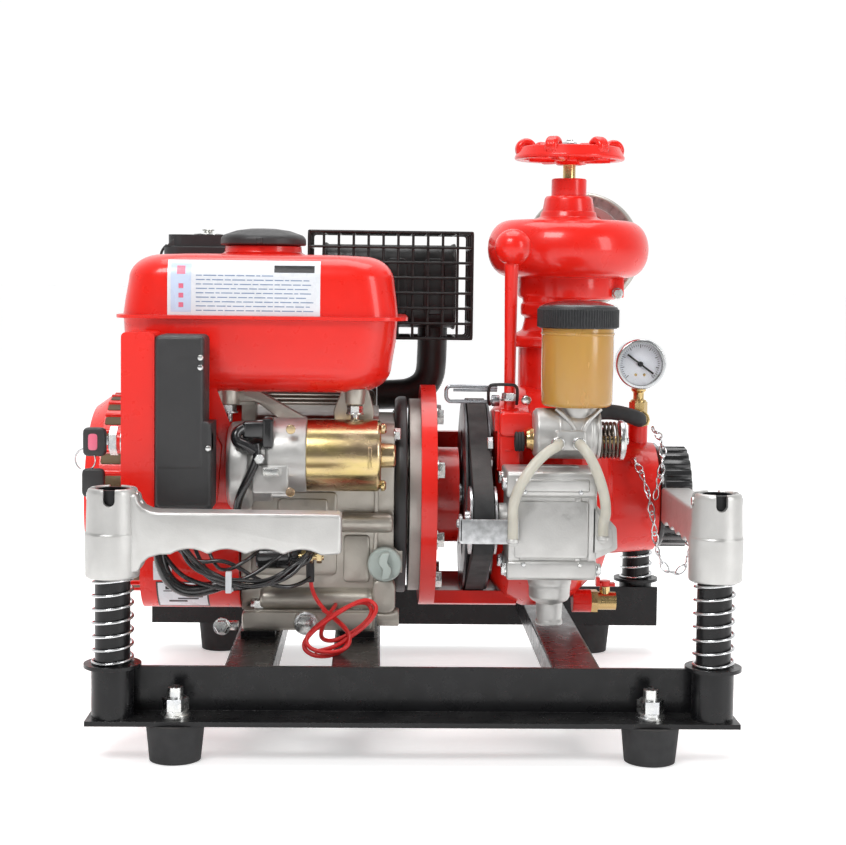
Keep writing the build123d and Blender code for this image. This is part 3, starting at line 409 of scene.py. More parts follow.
    def turned(self, matrix, about):
        """Turns everything so far about a point."""
        move = Matrix.Translation(Vector(about)) @ matrix @ Matrix.Translation(-Vector(about))
        bmesh.ops.transform(self.bm, matrix=move, verts=self.bm.verts)
        return self

    def done(self, slot, body="machine", material=None, replaces=None):
        """Makes the object, dresses it, files it under its body and hides the node it replaces."""
        for vert in self.bm.verts:
            vert.co = metres(vert.co)
        mesh = bpy.data.meshes.new(self.name)
        self.bm.to_mesh(mesh)
        self.bm.free()
        dress(mesh, material or slot)
        obj = put(self.name, mesh)
        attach(obj, body)
        if replaces:
            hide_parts(replaces)
        return obj


def curve_points(points, steps=8):
    """A smooth curve that starts and ends at the outer points, as a clamped quadratic spline."""
    points = [Vector(p) for p in points]
    middles = [points[0]] + [(a + b) / 2 for a, b in zip(points[1:], points[2:-1])] + [points[-1]]
    out = [points[0]]
    for a, here, b in zip(middles, points[1:], middles[1:]):
        for n in range(1, steps + 1):
            t = n / steps
            out.append(a * (1 - t) ** 2 + here * 2 * t * (1 - t) + b * t ** 2)
    return out


# ---- the CAD nodes' own look ----
for node in frame["record"]["subparts"]:
    dress(frame["nodes"][node["node"]].data, node["material_slot"], 30)
for node, look in (("drive_pulley", "dark_pulley"), ("crankcase", "engine_cast"),
        ("side_cover", "engine_cast")):
    dress(frame["nodes"][node].data, look, 30)


# ---- cords ----
WHITE_LEFT = [(121, -132, 247), (121, -146, 247), (110, -156, 243), (97, -161, 231), (86, -163, 214),
    (81, -161, 197), (82, -158, 184), (82, -158, 170)]
WHITE_RIGHT = [(139, -132, 247), (139, -145, 247), (146, -153, 238), (153, -157, 222), (158, -158, 205),
    (160, -153, 190), (158, -150, 184), (158, -150, 172)]
RUBBER = [(148, -62, 262), (148, -50, 262), (161, -38, 266), (180, -32, 267), (198, -29, 263),
    (209, -18, 258), (209, -2, 258)]
HARNESS = [(-195, -145, 191), (-195, -145, 172), (-190, -147, 152), (-174, -149, 137), (-154, -148, 130),
    (-132, -144, 127), (-110, -137, 132), (-93, -129, 144), (-88, -121, 150), (-88, -112, 150)]
CHAIN = [(203, -24, 221), (203, -36, 221), (208, -45, 208), (213, -49, 191), (217, -48, 171),
    (220, -45, 151), (225, -42, 133), (235, -40, 120), (247, -38, 124), (253, -36, 138), (253, -34, 150),
    (253, -24, 150)]
CHAIN_SECOND = [(221, -8, 250), (224, -18, 248), (227, -32, 238), (226, -42, 222), (221, -47, 204),
    (218, -49, 188)]
RED_LEAD = [(-88, -98, 140), (-88, -98, 126), (-86, -100, 113), (-78, -108, 102), (-68, -119, 95),
    (-59, -130, 90), (-52, -142, 84), (-54, -151, 76), (-64, -155, 73), (-76, -156, 73), (-87, -152, 76),
    (-90, -145, 82), (-83, -135, 89), (-70, -125, 97), (-54, -117, 105), (-40, -113, 108), (-33, -118, 101),
    (-40, -129, 92), (-54, -138, 84), (-67, -141, 79), (-76, -134, 79), (-78, -121, 82), (-75, -107, 88),
    (-70, -93, 95), (-66, -80, 98), (-66, -66, 98)]


def cord(name, node, points, diameter, slot):
    """A hose or lead: a round curve along its points."""
    data = bpy.data.curves.new(name, "CURVE")
    data.dimensions = "3D"
    data.bevel_depth = diameter / 2000
    data.bevel_resolution = 6
    data.use_fill_caps = True
    data.materials.append(LOOKS[slot])
    spline = data.splines.new("NURBS")
    spline.points.add(len(points) - 1)
    for target, point in zip(spline.points, points):
        target.co = (*metres(point), 1)
    spline.order_u = 3
    spline.use_endpoint_u = True
    spline.resolution_u = 12
    obj = put(name, data)
    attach(obj, "machine")
    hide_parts(node)


cord("left_oil_hose", "priming_hose_left", WHITE_LEFT, 8.8, "silicone")
cord("right_oil_hose", "priming_hose_right", WHITE_RIGHT, 8.8, "silicone")
cord("vacuum_hose_run", "vacuum_hose", RUBBER, 14, "rubber")
cord("red_starter_lead", "starter_lead", RED_LEAD, 3.6, "red_insulation")


def links(name, points, pitch=9.6):
    """Twisted steel links along a path, each turned about a quarter from the last."""
    piece = Piece(name)
    path = curve_points(points, 24)
    left = sum((b - a).length for a, b in zip(path, path[1:]))
    walked, count = pitch * 0.4, 0
    for before, here in zip(path, path[1:]):
        step = (here - before).length
        walked += step
        left -= step
        if walked < pitch or left < 5.5:
            continue
        walked -= pitch
        along = (here - before).normalized()
        side = along.cross(Z if abs(along.z) < 0.95 else Y).normalized()
        axis = side * cos(0.5 + count * 1.4) + along.cross(side) * sin(0.5 + count * 1.4)
        link = Matrix((along, axis.cross(along), axis)).transposed()
        loop = []
        for n in range(33):
            a = 2 * pi * n / 32
            loop.append(link @ Vector((6.0 * cos(a) + 0.4 * cos(3 * a), 3.0 * sin(a), 0.8 * sin(2 * a)))
                + here)
        piece.sweep(loop, 0.72, smooth=False, sides=8)
        count += 1
    return piece


def chain():
    """The cap's chain and the shorter length that hangs beside it."""
    main = links("cap_chain_links", CHAIN)
    main.ring((CHAIN[0][0], CHAIN[0][1] - 3, CHAIN[0][2]), X, 3.4, 0.8, 24, 8)
    first = main.done("chain_steel", replaces="cap_chain")
    second = links("cap_chain_second", CHAIN_SECOND).done("chain_steel")


# ---- discharge valve ----
VALVE_X, VALVE_Y = 146.0, 40.0
RISER = (134.0, 30.0, 0.0)
OUTLET_TURN = radians(-14)
OUTLET = Vector((-sin(OUTLET_TURN), cos(OUTLET_TURN), 0))


def handwheel():
    wheel = Piece("handwheel_casting")
    spindle = (VALVE_X, VALVE_Y, 0)
    wheel.lathe([(497.5, 38), (496.5, 50.8), (499, 51.6), (503, 49.4), (508.5, 47), (508.5, 43.4),
        (501, 41.5), (500, 38), (497.5, 38)], spindle, Z, 1.2, 96, hollow=True)
    wheel.lathe([(492, 12), (496, 15), (503, 13), (509, 11)], spindle, Z, 1.6)
    for n in range(6):
        angle = n * pi / 3 + 0.05
        out = Vector((cos(angle), sin(angle), 0))
        across = out.cross(Z)
        lobe = Vector(spindle) + out * 41.2 + Z * 506.3
        for shift in (-2.4, 0, 2.4):
            wheel.ring(lobe + across * shift, across, 6.2, 3.9, 40, 14)
        wheel.sweep([Vector(spindle) + out * 8 + Z * 500, Vector(spindle) + out * 22 + Z * 498.5,
            Vector(spindle) + out * 38 + Z * 499.5], 4.8)
    wheel.done("red_paint", "handwheel", replaces="handwheel")
    stem = Piece("handwheel_stem").rod((VALVE_X, VALVE_Y, 404.4), (VALVE_X, VALVE_Y, 494), 5.9)
    stem.done("brass", "handwheel")
    nut = Piece("handwheel_nut").hexagon((VALVE_X, VALVE_Y, 508.8), Z, 5, 12)
    nut.rod((VALVE_X, VALVE_Y, 511), (VALVE_X, VALVE_Y, 516), 3.2)
    nut.done("zinc", "handwheel")


def valve_casting():
    x, y = VALVE_X, VALVE_Y
    body = Piece("valve_casting")
    body.lathe([(322.2, 43), (332, 43), (338, 31), (350, 28.5), (352, 32.5), (362, 32.5), (364, 30.5),
        (372, 32)], RISER, Z, 3)
    corners = [(x + 47.5 * cos(radians(22.5 + 30 * n)), y + 47.5 * sin(radians(22.5 + 30 * n)))
        for n in range(12)]
    body.prism(corners, 367, 391, "Z", 9, 3.5, 4)
    lobe = [(386.6, 0)]
    lobe += [(413.8 + 26.6 * sin(a), 52 + 23.3 * copysign(abs(cos(a)) ** 0.85, cos(a)))
        for a in [radians(-90 + 7.5 * n) for n in range(25)]]
    lobe += [(441, 34), (443.5, 27), (449, 25.4), (449, 0)]
    body.lathe(lobe, (x, y, 0), Z, 1.2, 96, hollow=True)
    body.lathe([(60, 30), (60, 34), (96, 37), (113.8, 36.9), (113.8, 21), (60, 21)], (x, y, 415), OUTLET,
        1.2, 64, hollow=True)
    body.block(187, 197, 21, 39, 369, 391, 2)
    body.done("red_paint", replaces="valve_body")
    bolt = Piece("valve_ring_bolt").hexagon((190, 17, 373), -Y, 5, 8, 5.4)
    bolt.rod((190, 18, 373), (190, 30, 373), 2.6)
    bolt.done("zinc")
    bonnet = Piece("valve_bonnet_casting")
    bonnet.lathe([(445, 25.2), (461, 22.6), (463.4, 20.5)], (x, y, 0), Z, 1.6, 10)
    bonnet.lathe([(443, 25), (461.5, 21.4)], (x, y, 0), Z, 1.4, 64)
    bonnet.lathe([(462, 16.4), (479.5, 16.4), (479.5, 6.3), (476, 6.3)], (x, y, 0), Z, 1.8)
    bonnet.done("red_paint", replaces="valve_bonnet")


def coupling_lugs():
    """The claw ring of the discharge coupling, with its grooves and wrench lugs."""
    ring = Piece("coupling_ring")
    centre = (VALVE_X, VALVE_Y, 415)
    ring.lathe([(101, 45.2), (101, 55.6), (104, 57.5), (108, 57.5), (109, 55), (113, 55), (114, 57.5),
        (120, 57.5), (123, 55), (123, 45.2)], centre, OUTLET, 0.9, 80, hollow=True)
    side = OUTLET.cross(Z)
    for n in range(4):
        out = side * cos(n * pi / 2 + 0.6) + Z * sin(n * pi / 2 + 0.6)
        base = Vector(centre) + OUTLET * 111.5
        ring.rod(base + out * 52, base + out * 57.5, 7, 1.5)
    ring.done("cast_aluminium", material="engine_cast")


# ---- oil cup, valve block and gauge ----
CUP_X, CUP_Y, CUP_Z0, CUP_Z1 = 140.5, -95.0, 276.0, 360.0


def oil_cup():
    base = (CUP_X, CUP_Y, 0)
    cup = Piece("oil_cup_shell")
    cup.lathe([(CUP_Z0, 30.6), (CUP_Z0 + 30, 31), (CUP_Z1, 31), (CUP_Z1, 28.6), (CUP_Z0 + 30, 28.4),
        (CUP_Z0 + 3.6, 27.8)], base, Z, 5, 96)
    cup.ring((CUP_X, CUP_Y, CUP_Z1 - 21), Z, 30.6, 1.2, 80, 10)
    cup.done("amber_cup", replaces="oil_cup")
    oil = Piece("priming_oil")
    oil.lathe([(CUP_Z0 + 3.9, 27.4), (CUP_Z1 - 19, 28.0)], base, Z, 4, 72)
    oil.done("amber_cup", material="oil")
    lid = Piece("oil_lid_ring")
    lid.lathe([(CUP_Z1 - 16.4, 31.4), (CUP_Z1 - 16.4, 33.6), (CUP_Z1 - 15, 34.4), (CUP_Z1, 34.4),
        (CUP_Z1 + 2.2, 33.4), (CUP_Z1 + 2.2, 0), (CUP_Z1 + 0.4, 0), (CUP_Z1 + 0.4, 31.4),
        (CUP_Z1 - 16.4, 31.4)], base, Z, 0.8, 96, hollow=True)
    for n in range(90):
        angle = n * pi / 45
        foot = Vector((CUP_X + 34.5 * cos(angle), CUP_Y + 34.5 * sin(angle), CUP_Z1 - 15.4))
        lid.rod(foot, foot + Z * 15.4, 0.8, 0.4, 8)
    lid.done("black_plastic", "oil_cup_lid", replaces="oil_cup_lid")
    dome = Piece("oil_lid_dome")
    dome.lathe([(CUP_Z1 + 2, 32.4), (CUP_Z1 + 3.6, 30.5), (CUP_Z1 + 6.2, 22), (CUP_Z1 + 7.6, 9),
        (CUP_Z1 + 7.8, 0)], base, Z, 4, 96)
    dome.done("black_plastic", "oil_cup_lid", material="black_gloss")


def valve_block():
    y = CUP_Y
    block = Piece("priming_valve_body")
    block.lathe([(103, 18.5), (106, 21.8), (152, 22.2), (154, 20.5), (158, 20.5)], (0, y, 252.5), X, 1.2,
        64)
    block.lathe([(258, 14), (270, 17.5), (278.8, 18)], (CUP_X, y, 0), Z, 2.2)
    for side in (-1, 1):
        rib = [(CUP_X + side * 19, y - 15, 275), (CUP_X + side * 12, y - 18.6, 269),
            (CUP_X + side * 4, y - 21.4, 260), (CUP_X + side * 2.5, y - 21.6, 252)]
        block.sweep(rib, 1.9)
        block.lathe([(0, 3), (0, 21.9), (3.2, 21.9), (3.2, 3)], (CUP_X + side * 16.5, y, 252.5), X, 1.1, 64,
            hollow=True)
    block.block(120, 146, -125, y, 240, 257, 3, "Y", 1.6)
    block.block(106, 142, -113, -100, 218, 226, 2, "Y", 0.8)
    block.rod((148, -78, 262), (148, -62.5, 262), 7)
    block.done("cast_aluminium", replaces="valve_block")
    barbs = Piece("hose_barbs")
    for x in (121, 139):
        barbs.lathe([(0, 4.6), (2, 5.4), (5, 4.2), (7, 4.2)], (x, -124.8, 247), -Y, 0.5)
        barbs.ring((x, -134.5, 247), Y, 4.9, 1.0, 28, 10)
    barbs.done("zinc")
    brass = Piece("valve_gland")
    brass.lathe([(97, 8), (100, 9), (103, 11)], (0, y, 247), X, 0.6)
    brass.rod((158, y, 247), (181, y, 247), 3.4)
    brass.done("brass")
    boots = Piece("gland_o_rings")
    for x in (89, 91.6, 94.2):
        boots.ring((x, y, 245), X, 7.2, 1.5)
    boots.done("rubber")
    spring = Piece("valve_return_spring")
    coil = []
    for n in range(5 * 16 + 1):
        angle = n * pi / 8
        coil.append((159.5 + 17 * n / 80, y + 15.2 * cos(angle), 247 + 15.2 * sin(angle)))
    spring.sweep(coil, 1.2, sides=10)
    spring.done("spring_steel", material="dark_spring")
    seat = Piece("spring_seat").lathe([(177.5, 17.4), (181.5, 17.4), (183, 14)], (0, y, 247), X, 0.8)
    seat.rod((182, y, 247), (186, y, 247), 4)
    seat.done("zinc")
    link = Piece("valve_link_wire")
    link.sweep([(100, -119, 232), (100, -119.5, 221), (104, -119.5, 217.5), (122, -119, 218),
        (139, -118.6, 220)], 1.3)
    link.done("black_enamel")


def gauge():
    x, y, z = centre = (212.0, 18.0, 308.0)
    case = Piece("gauge_bezel")
    case.lathe([(-14, 19.8), (-14, 22.6), (-12, 23.5), (-7, 23.5), (-6, 22), (11, 22), (12, 20), (12, 0),
        (10, 0), (10, 19.6), (-13, 19.6)], centre, Y, 0.9, 72, hollow=True)
    case.done("chain_steel", replaces="pressure_gauge")
    dial = Piece("gauge_dial").lathe([(-6.2, 19.6), (-5, 19.6)], centre, Y, 0.1, 64)
    dial.done("chain_steel", material="dial_white")
    marks = Piece("gauge_scale")
    for n in range(41):
        angle = radians(225 - 270 * n / 40)
        long = n % 5 == 0
        out = Vector((cos(angle), 0, sin(angle)))
        start = Vector((x, y - 6.3, z)) + out * (15.0 if long else 16.4)
        marks.rod(start, start + out * (3.2 if long else 1.8), 0.32 if long else 0.2, 0, 6)
    marks.done("black_plastic", material="black_print")
    dots = Piece("gauge_screws")
    for side in (-1, 1):
        dots.rod((x + side * 4, y - 6.9, z - 10), (x + side * 4, y - 6, z - 10), 1.3, 0.3, 16)
    dots.done("brass")
    window = Piece("gauge_window").lathe([(-11.6, 19.6), (-10.6, 19.6)], centre, Y, 0.1, 64)
    window.done("chain_steel", material="gauge_glass")
    stem = Piece("gauge_fitting")
    stem.lathe([(250.8, 10), (256, 11.5), (259, 8.4), (260, 7.4), (274, 7.4), (275, 5), (281, 5), (283, 7),
        (287, 7)], (x, y, 0), Z, 0.6)
    stem.hexagon((x, y, 260), Z, 13, 15)
    stem.rod((x, -2.4, 258), (x, 14, 258), 6.9)
    stem.ring((x, -2.6, 258), Y, 6.6, 0.9)
    stem.done("brass")


# ---- priming lever and its latch ----
def priming_lever():
    x, y, z = 85.0, -62.0, 262.0
    lever = Piece("priming_lever_rod")
    lever.lathe([(z + 7, 4.8), (330, 5.2), (392, 5.9), (399, 6.4), (400, 0)], (x, y, 0), Z, 1.2)
    ball = [(413 - 16 * cos(radians(9 * n)), 16 * sin(radians(9 * n))) for n in range(21)]
    lever.lathe(ball, (x + 1, y, 0), Z, 0.2)
    lever.rod((x - 8, y, z), (x + 8, y, z), 9.4)
    lever.done("red_paint", "priming_lever", replaces="priming_lever")
    nut = Piece("lever_lock_nut").hexagon((x, y, 279.4), Z, 5.6, 12)
    nut.lathe([(278, 8.4), (279.6, 8.4)], (x, y, 0), Z, 0.4)
    nut.done("zinc", "priming_lever")
    clip = Piece("lever_clip")
    clip.sweep([(68, -56, 274), (66, -66, 276), (65.5, -74, 292), (72, -75, 293), (84, -75, 293),
        (90.5, -74, 292), (91.5, -70, 283), (91, -66, 275)], 1.4)
    clip.done("black_enamel", "priming_lever")
    latch = Piece("lever_latch")
    latch.sweep([(75, -50, 289), (32, -50, 289.5), (29.5, -50, 287), (29.5, -50, 279), (32, -50, 276),
        (75, -50, 276)], 1.7, smooth=False)
    latch.sweep([(75, -47, 286), (36, -47, 286)], 1.4, smooth=False)
    latch.lathe([(70, 5), (77, 5)], (0, -50, 277), X, 0.8)
    latch.done("zinc", material="zinc_dull")
    head = Piece("lever_cam_block")
    head.block(75, 104, -88, -73.6, 248, 269.4, 5, "Y", 2.2, 3)
    head.block(75.5, 93, -86, -74.3, 215, 250, 4, "Y", 1.4)
    head.block(80, 87, -87, -85, 236, 237.4, 0, "Y", 0.3)
    head.done("red_paint")
    bolts = Piece("lever_block_screws")
    bolts.lathe([(0, 4.6), (2.4, 3.8), (3.4, 0)], (99.2, -70, 279), -Y, 0.5)
    bolts.rod((99.2, -70, 279), (99.2, -52, 279), 2.4)
    bolts.hexagon((70, -72, 240), -X, 5, 11)
    bolts.hexagon((70, -72, 224), -X, 5, 9)
    bolts.done("zinc")


# ---- vacuum pump ----
def vacuum_pump():
    body = Piece("vacuum_pump_casting")
    body.block(81, 150, -146, -88, 144, 212, 5, "X", 1.6)
    for x0, x1 in ((79, 89), (135, 140), (146, 153)):
        body.block(x0, x1, -147.4, -88, 146, 206, 5, "X", 1.4)
    body.block(77, 153, -150, -88, 203, 225, 6, "X", 2, 3)
    body.block(84, 146, -151.4, -140, 208, 219, 4, "X", 1.2)
    body.block(78, 153, -150, -88, 133.5, 150, 6, "X", 2, 3)
    body.block(84, 146, -148.2, -140, 152, 200, 3, "Y", 1)
    body.prism([(150, 200), (170, 178), (171, 160), (150, 150)], -146, -130, "Y", 2, 1)
    body.prism([(150, 196), (166, 176), (167, 163), (150, 156)], -147.4, -128, "Y", 2, 1)
    body.lathe([(136, 0), (136, 18), (127, 18.6), (124, 17.6), (115, 17.4), (112, 15.4), (110.5, 11.4),
        (96, 10.8), (94, 11.6), (91, 11.6), (91, 7), (140, 7)], (117, -120, 0), Z, 1.4, hollow=True)
    body.rod((72.4, -114, 179), (80, -114, 179), 15)
    body.done("cast_aluminium", replaces="vacuum_pump")
    ports = Piece("pump_hose_barbs")
    for x, y, z in ((82, -158, 170), (158, -150, 172)):
        ports.rod((x, y, z), (x, y, z - 4), 5.2, 1.4)
        ports.rod((x, y + 1, z - 3), (x, -140, z - 3), 4.2)
    ports.done("cast_aluminium")
    bolts = Piece("vacuum_pump_bolts")
    for y, z in ((-143, 214), (-143, 142), (-98, 214), (-98, 142)):
        bolts.hexagon((153, y, z), X, 4.6, 9, 6)
        bolts.hexagon((77.8, y, z), -X, 4.2, 9, 6)
    for x in (92, 139):
        for z in (147, 208):
            bolts.lathe([(0, 2.2), (1.0, 1.6), (1.2, 0)], (x, -151 if z > 200 else -150, z), -Y, 0.3, 20)
    bolts.done("zinc")
    strap = Piece("belt_strap")
    strap.block(38, 87, -157, -154.6, 165, 185.5, 1.5, "Y", 0.5)
    strap.block(37.4, 40, -157, -140, 166, 188, 1.5, "X", 0.5)
    strap.lathe([(0, 4), (2, 3.2), (2.6, 0)], (37.6, -148, 181), -X, 0.4)
    strap.done("zinc", material="galvanised")


# ---- electric starter ----
def starter():
    y, z = -98.0, 232.0
    gear = Piece("starter_gear_housing")
    gear.lathe([(-159, 33), (-156, 37.5), (-146, 38.5), (-140, 37), (-137, 31), (-121, 31)], (0, -94, 222),
        X, 1.6, 64)
    gear.lathe([(-126, 30), (-123, 32), (-92, 32), (-91.4, 31)], (0, y, z), X, 1.4, 64)
    gear.block(-136, -106, -130, -110, 202, 226, 3, "Y", 1.4)
    gear.block(-128, -112, -133, -112, 217, 225, 2, "Y", 1)
    gear.block(-140, -104, -112, -68, 196, 212, 5, "X", 1.6)
    gear.done("cast_aluminium", replaces="starter_motor")
    can = Piece("starter_can")
    can.lathe([(-91.4, 30.6), (-90.6, 31), (-31, 31), (-29.6, 30.2), (-28, 29), (-27.6, 0)], (0, y, z), X,
        0.9, 80)
    can.lathe([(-28, 11), (-24, 10.6), (-17, 10.4), (-15.4, 9)], (0, y, z), X, 1)
    can.block(-39, -36, -130.6, -124, 224, 242, 0.8, "Y", 0.4)
    for dz in (-24.5, 24.5):
        can.lathe([(0, 4.6), (3, 4.6), (4.6, 3)], (-28, y - 13, z + dz), X, 0.6, 24)
        can.lathe([(0, 4.0), (3, 4.0)], (-104, y - 33, z - 28 if dz < 0 else z + 25), -Y, 0.6, 24)
    can.done("yellow_zinc")
    boot = Piece("terminal_boot")
    boot.block(-145, -121, -130, -112, 248, 263, 5, "Y", 3, 4)
    boot.block(-128, -119, -131, -110, 240, 266, 3, "Y", 2)
    boot.sweep([(-142, -124, 258), (-150, -129, 255), (-150, -132, 246), (-141, -133, 243),
        (-134, -132, 238)], 4.6)
    boot.sweep([(-133, -131, 244), (-131, -133, 236), (-136, -132, 222), (-143, -130, 208),
        (-149, -126, 194), (-150, -120, 182)], 3.6)
    boot.done("rubber", material="black_gloss")
    tab = Piece("starter_terminal")
    tab.block(-127, -114, -136, -132, 218, 224, 1, "Y", 0.5)
    tab.hexagon((-130, -133, 232), -Y, 4, 8)
    tab.done("zinc")
    relay = Piece("starter_relay")
    relay.lathe([(-134, 9), (-132, 10.4), (-106, 10.4), (-104, 9), (-103, 7), (-98, 7)], (0, -112, 146), X,
        0.8, 40)
    relay.block(-128, -92, -112, -66.5, 141, 153, 3, "X", 1)
    relay.done("black_plastic", material="black_gloss")
    brass = Piece("relay_terminals")
    brass.rod((-98, -112, 146), (-76, -112, 146), 3)
    for x in (-95, -89.5, -82):
        brass.hexagon((x, -112, 146), X, 4.4, 10)
    brass.lathe([(-92, 6.6), (-90.6, 6.6)], (0, -112, 146), X, 0.3)
    brass.done("yellow_zinc")
    splice = Piece("lead_splice")
    splice.sweep([(-88, -104, 146), (-88, -101, 138), (-88, -98.5, 130), (-88, -98, 122)], 3.6)
    splice.done("black_plastic")
    tie = Piece("cable_tie")
    tie.ring((-153, -147, 129), (1, 0, 0.35), 6.6, 1.0, 32, 8)
    tie.block(-156, -151, -156, -151, 122, 140, 0.8, "Y", 0.4)
    tie.done("silicone", material="white_print")


# ---- engine front ----
def hex_bolts():
    zinc = Piece("engine_bolts")
    for x, y, z, size in ((-15, -56, 170, 11), (-17, -60, 85, 11), (-16.4, 84, 250, 11),
            (-16.4, 84, 92, 11), (-16.4, -58, 246, 11)):
        zinc.hexagon((x, y, z), X, 6, size, size * 0.62)
    zinc.hexagon((-92, -85, 83), -Y, 6.5, 15, 10)
    for x in (-160, -51):
        zinc.hexagon((x, -86, 266.5), Z, 8, 12, 8)
        zinc.rod((x, -86, 259), (x, -86, 268), 3.4)
    zinc.hexagon((-164, -96, 82), -Y, 5.5, 11, 7.5)
    zinc.rod((-160, -92, 82), (-150, -92, 82), 4.2)
    zinc.done("zinc")


def engine_front():
    cast = Piece("crankcase_bosses")
    cast.lathe([(-64, 7.6), (-60, 8.6), (-20, 8.6), (-17, 7.6)], (0, -74, 170), X, 1.2)
    cast.block(-50, -30, -74, -64, 163, 177, 3, "Y", 1.2)
    cast.lathe([(-133, 8), (-130, 9.6), (-38, 9.6), (-34, 8)], (0, -68, 101), X, 1.4)
    cast.block(-148, -34, -84, -64, 76, 92, 6, "Y", 2)
    cast.lathe([(0, 11), (2, 10.4)], (-92, -84, 83), -Y, 0.6)
    cast.block(-34, -14, -76, -60, 90, 120, 8, "Y", 2.4, 3)
    cast.lathe([(-30, 8), (-10.6, 8)], (0, -66, 85), X, 1.4)
    cast.block(-33.4, -29.8, -70, 96, 86, 258, 22, "X", 0.9)
    cast.block(-141, -66, -68.4, -64, 122, 196, 5, "Y", 1.4)
    cast.block(-60, -37, -68.4, -64, 116, 158, 4, "Y", 1.4)
    cast.block(-118, -74, -69.6, -66, 160, 190, 4, "Y", 1.2)
    cast.prism([(-153, 286), (-138, 288), (-92, 262), (-92, 254), (-104, 252), (-136, 276), (-153, 276)],
        -84, -72, "Y", 4, 1.4)
    cast.prism([(-62, 288.6), (-40, 288.6), (-34, 268), (-36, 256), (-68, 256), (-70, 268)], -80, -66, "Y",
        3, 1.4)
    cast.lathe([(274, 9.2), (288.8, 9.8)], (-160, -86, 0), Z, 1)
    cast.lathe([(275, 8.2), (288.8, 9.4)], (-51, -86, 0), Z, 1)
    cast.done("cast_aluminium", material="engine_cast")
    cap = Piece("oil_filler_cap")
    centre = (-23.5, -66, 133.5)
    cap.lathe([(0.3, 14.8), (11, 15.2), (13, 13.8)], centre, -Y, 1.4, 48)
    grip = [(-3.5, -12.5), (3.5, -11), (6.5, -3), (1.5, 3), (4.5, 12.5), (-3.5, 11), (-6.5, 3), (-1.5, -3)]
    cap.prism([(centre[0] + u, centre[2] + v) for u, v in grip], -87.4, -78, "Y", 3, 1.6, 3)
    cap.rod((-23.5, -66, 133.5), (-23.5, -30, 133.5), 3)
    cap.done("black_plastic", "oil_cap", material="grey_green", replaces="oil_cap")
    panel = Piece("side_bracket")
    panel.prism([(-181, 300), (-174, 300), (-153, 246), (-153, 190), (-181, 190)], -99, -96.6, "Y", 2, 0.5)
    panel.prism([(-181, 262), (-177, 262), (-164, 240), (-168, 190), (-181, 190)], -105, -99, "Y", 2, 0.8)
    panel.done("red_paint")


def harness():
    """Five wires that lie together along the sleeve's path and wander about one another."""
    piece = Piece("harness_bundle")
    path = curve_points(HARNESS, 10)
    for wire in range(5):
        line = []
        for n, here in enumerate(path):
            phase = wire * 2 * pi / 5 + 1.1 * sin(n * 0.16 + wire)
            along = (path[min(n + 1, len(path) - 1)] - path[max(n - 1, 0)]).normalized()
            side = along.cross(Y).normalized()
            line.append(here + 2.7 * (side * cos(phase) + side.cross(along) * sin(phase)))
        piece.sweep(line, 1.75, sides=10)
    obj = piece.done("black_plastic", material="black_gloss", replaces="wiring_harness")


# ---- control box ----
def control_box():
    cover = Piece("control_cover_panel")
    cover.block(-213, -173.4, -169, -162, 226, 335.4, 5, "Y", 3, 4)
    cover.block(-213, -167, -168.4, -160, 194, 266, 6, "Y", 3, 4)
    cover.prism([(-174, 266), (-167, 258), (-167, 240), (-176, 240), (-176, 276)], -168, -150, "Y", 2, 1.6)
    cover.done("black_plastic", material="charcoal")
    screws = Piece("control_screws")
    for x, z in ((-176, 318), (-176, 310), (-169.4, 244)):
        screws.lathe([(0, 2.6), (1.2, 2.2), (1.6, 0)], (x, -169, z), -Y, 0.3, 20)
    screws.hexagon((-246.4, -143, 247), -X, 7, 21)
    screws.lathe([(241, 12), (243.4, 12)], (0, -143, 247), -X, 0.5)
    screws.done("zinc")
    key = Piece("key_bow")
    key.block(-275.4, -256, -146, -140, 234, 258, 5, "Y", 2, 3)
    key.done("steel", "ignition_key", material="charcoal", replaces="ignition_key")
    window = Piece("key_window").block(-271, -263, -146.5, -139.5, 239, 253, 3, "Y", 0.8)
    window.done("red_insulation", "ignition_key", material="pink_plastic")
    blade = Piece("key_blade").block(-257, -239.5, -144.1, -141.9, 243.4, 250.6, 0.6, "Y", 0.3)
    blade.done("steel", "ignition_key")
    ring = Piece("key_ring")
    ring.ring((-273.6, -143, 231), (0.25, 1, 0), 9, 0.7, 40, 8)
    ring.done("chain_steel", "ignition_key")
    spare = Piece("spare_key")
    spare.block(-276, -257, -147.4, -142, 200, 224, 5, "Y", 2, 3)
    spare.block(-270, -265, -144, -142.4, 180, 202, 0.5, "Y", 0.3)
    spare.done("steel", "ignition_key", material="charcoal")


# ---- tank, air cleaner and muffler ----
def decal(name, x0, x1, z0, z1, depth, columns=4, rows=24):
    """A printed label laid on a curved wall: depth gives the wall's Y at a height."""
    bm = bmesh.new()
    grid = []
    for j in range(rows + 1):
        z = z0 + (z1 - z0) * j / rows
        grid.append([bm.verts.new((x0 + (x1 - x0) * i / columns, depth(z), z)) for i in range(columns + 1)])
    skin(bm, grid, closed=False)
    piece = Piece(name)
    piece.join(bm)
    return piece


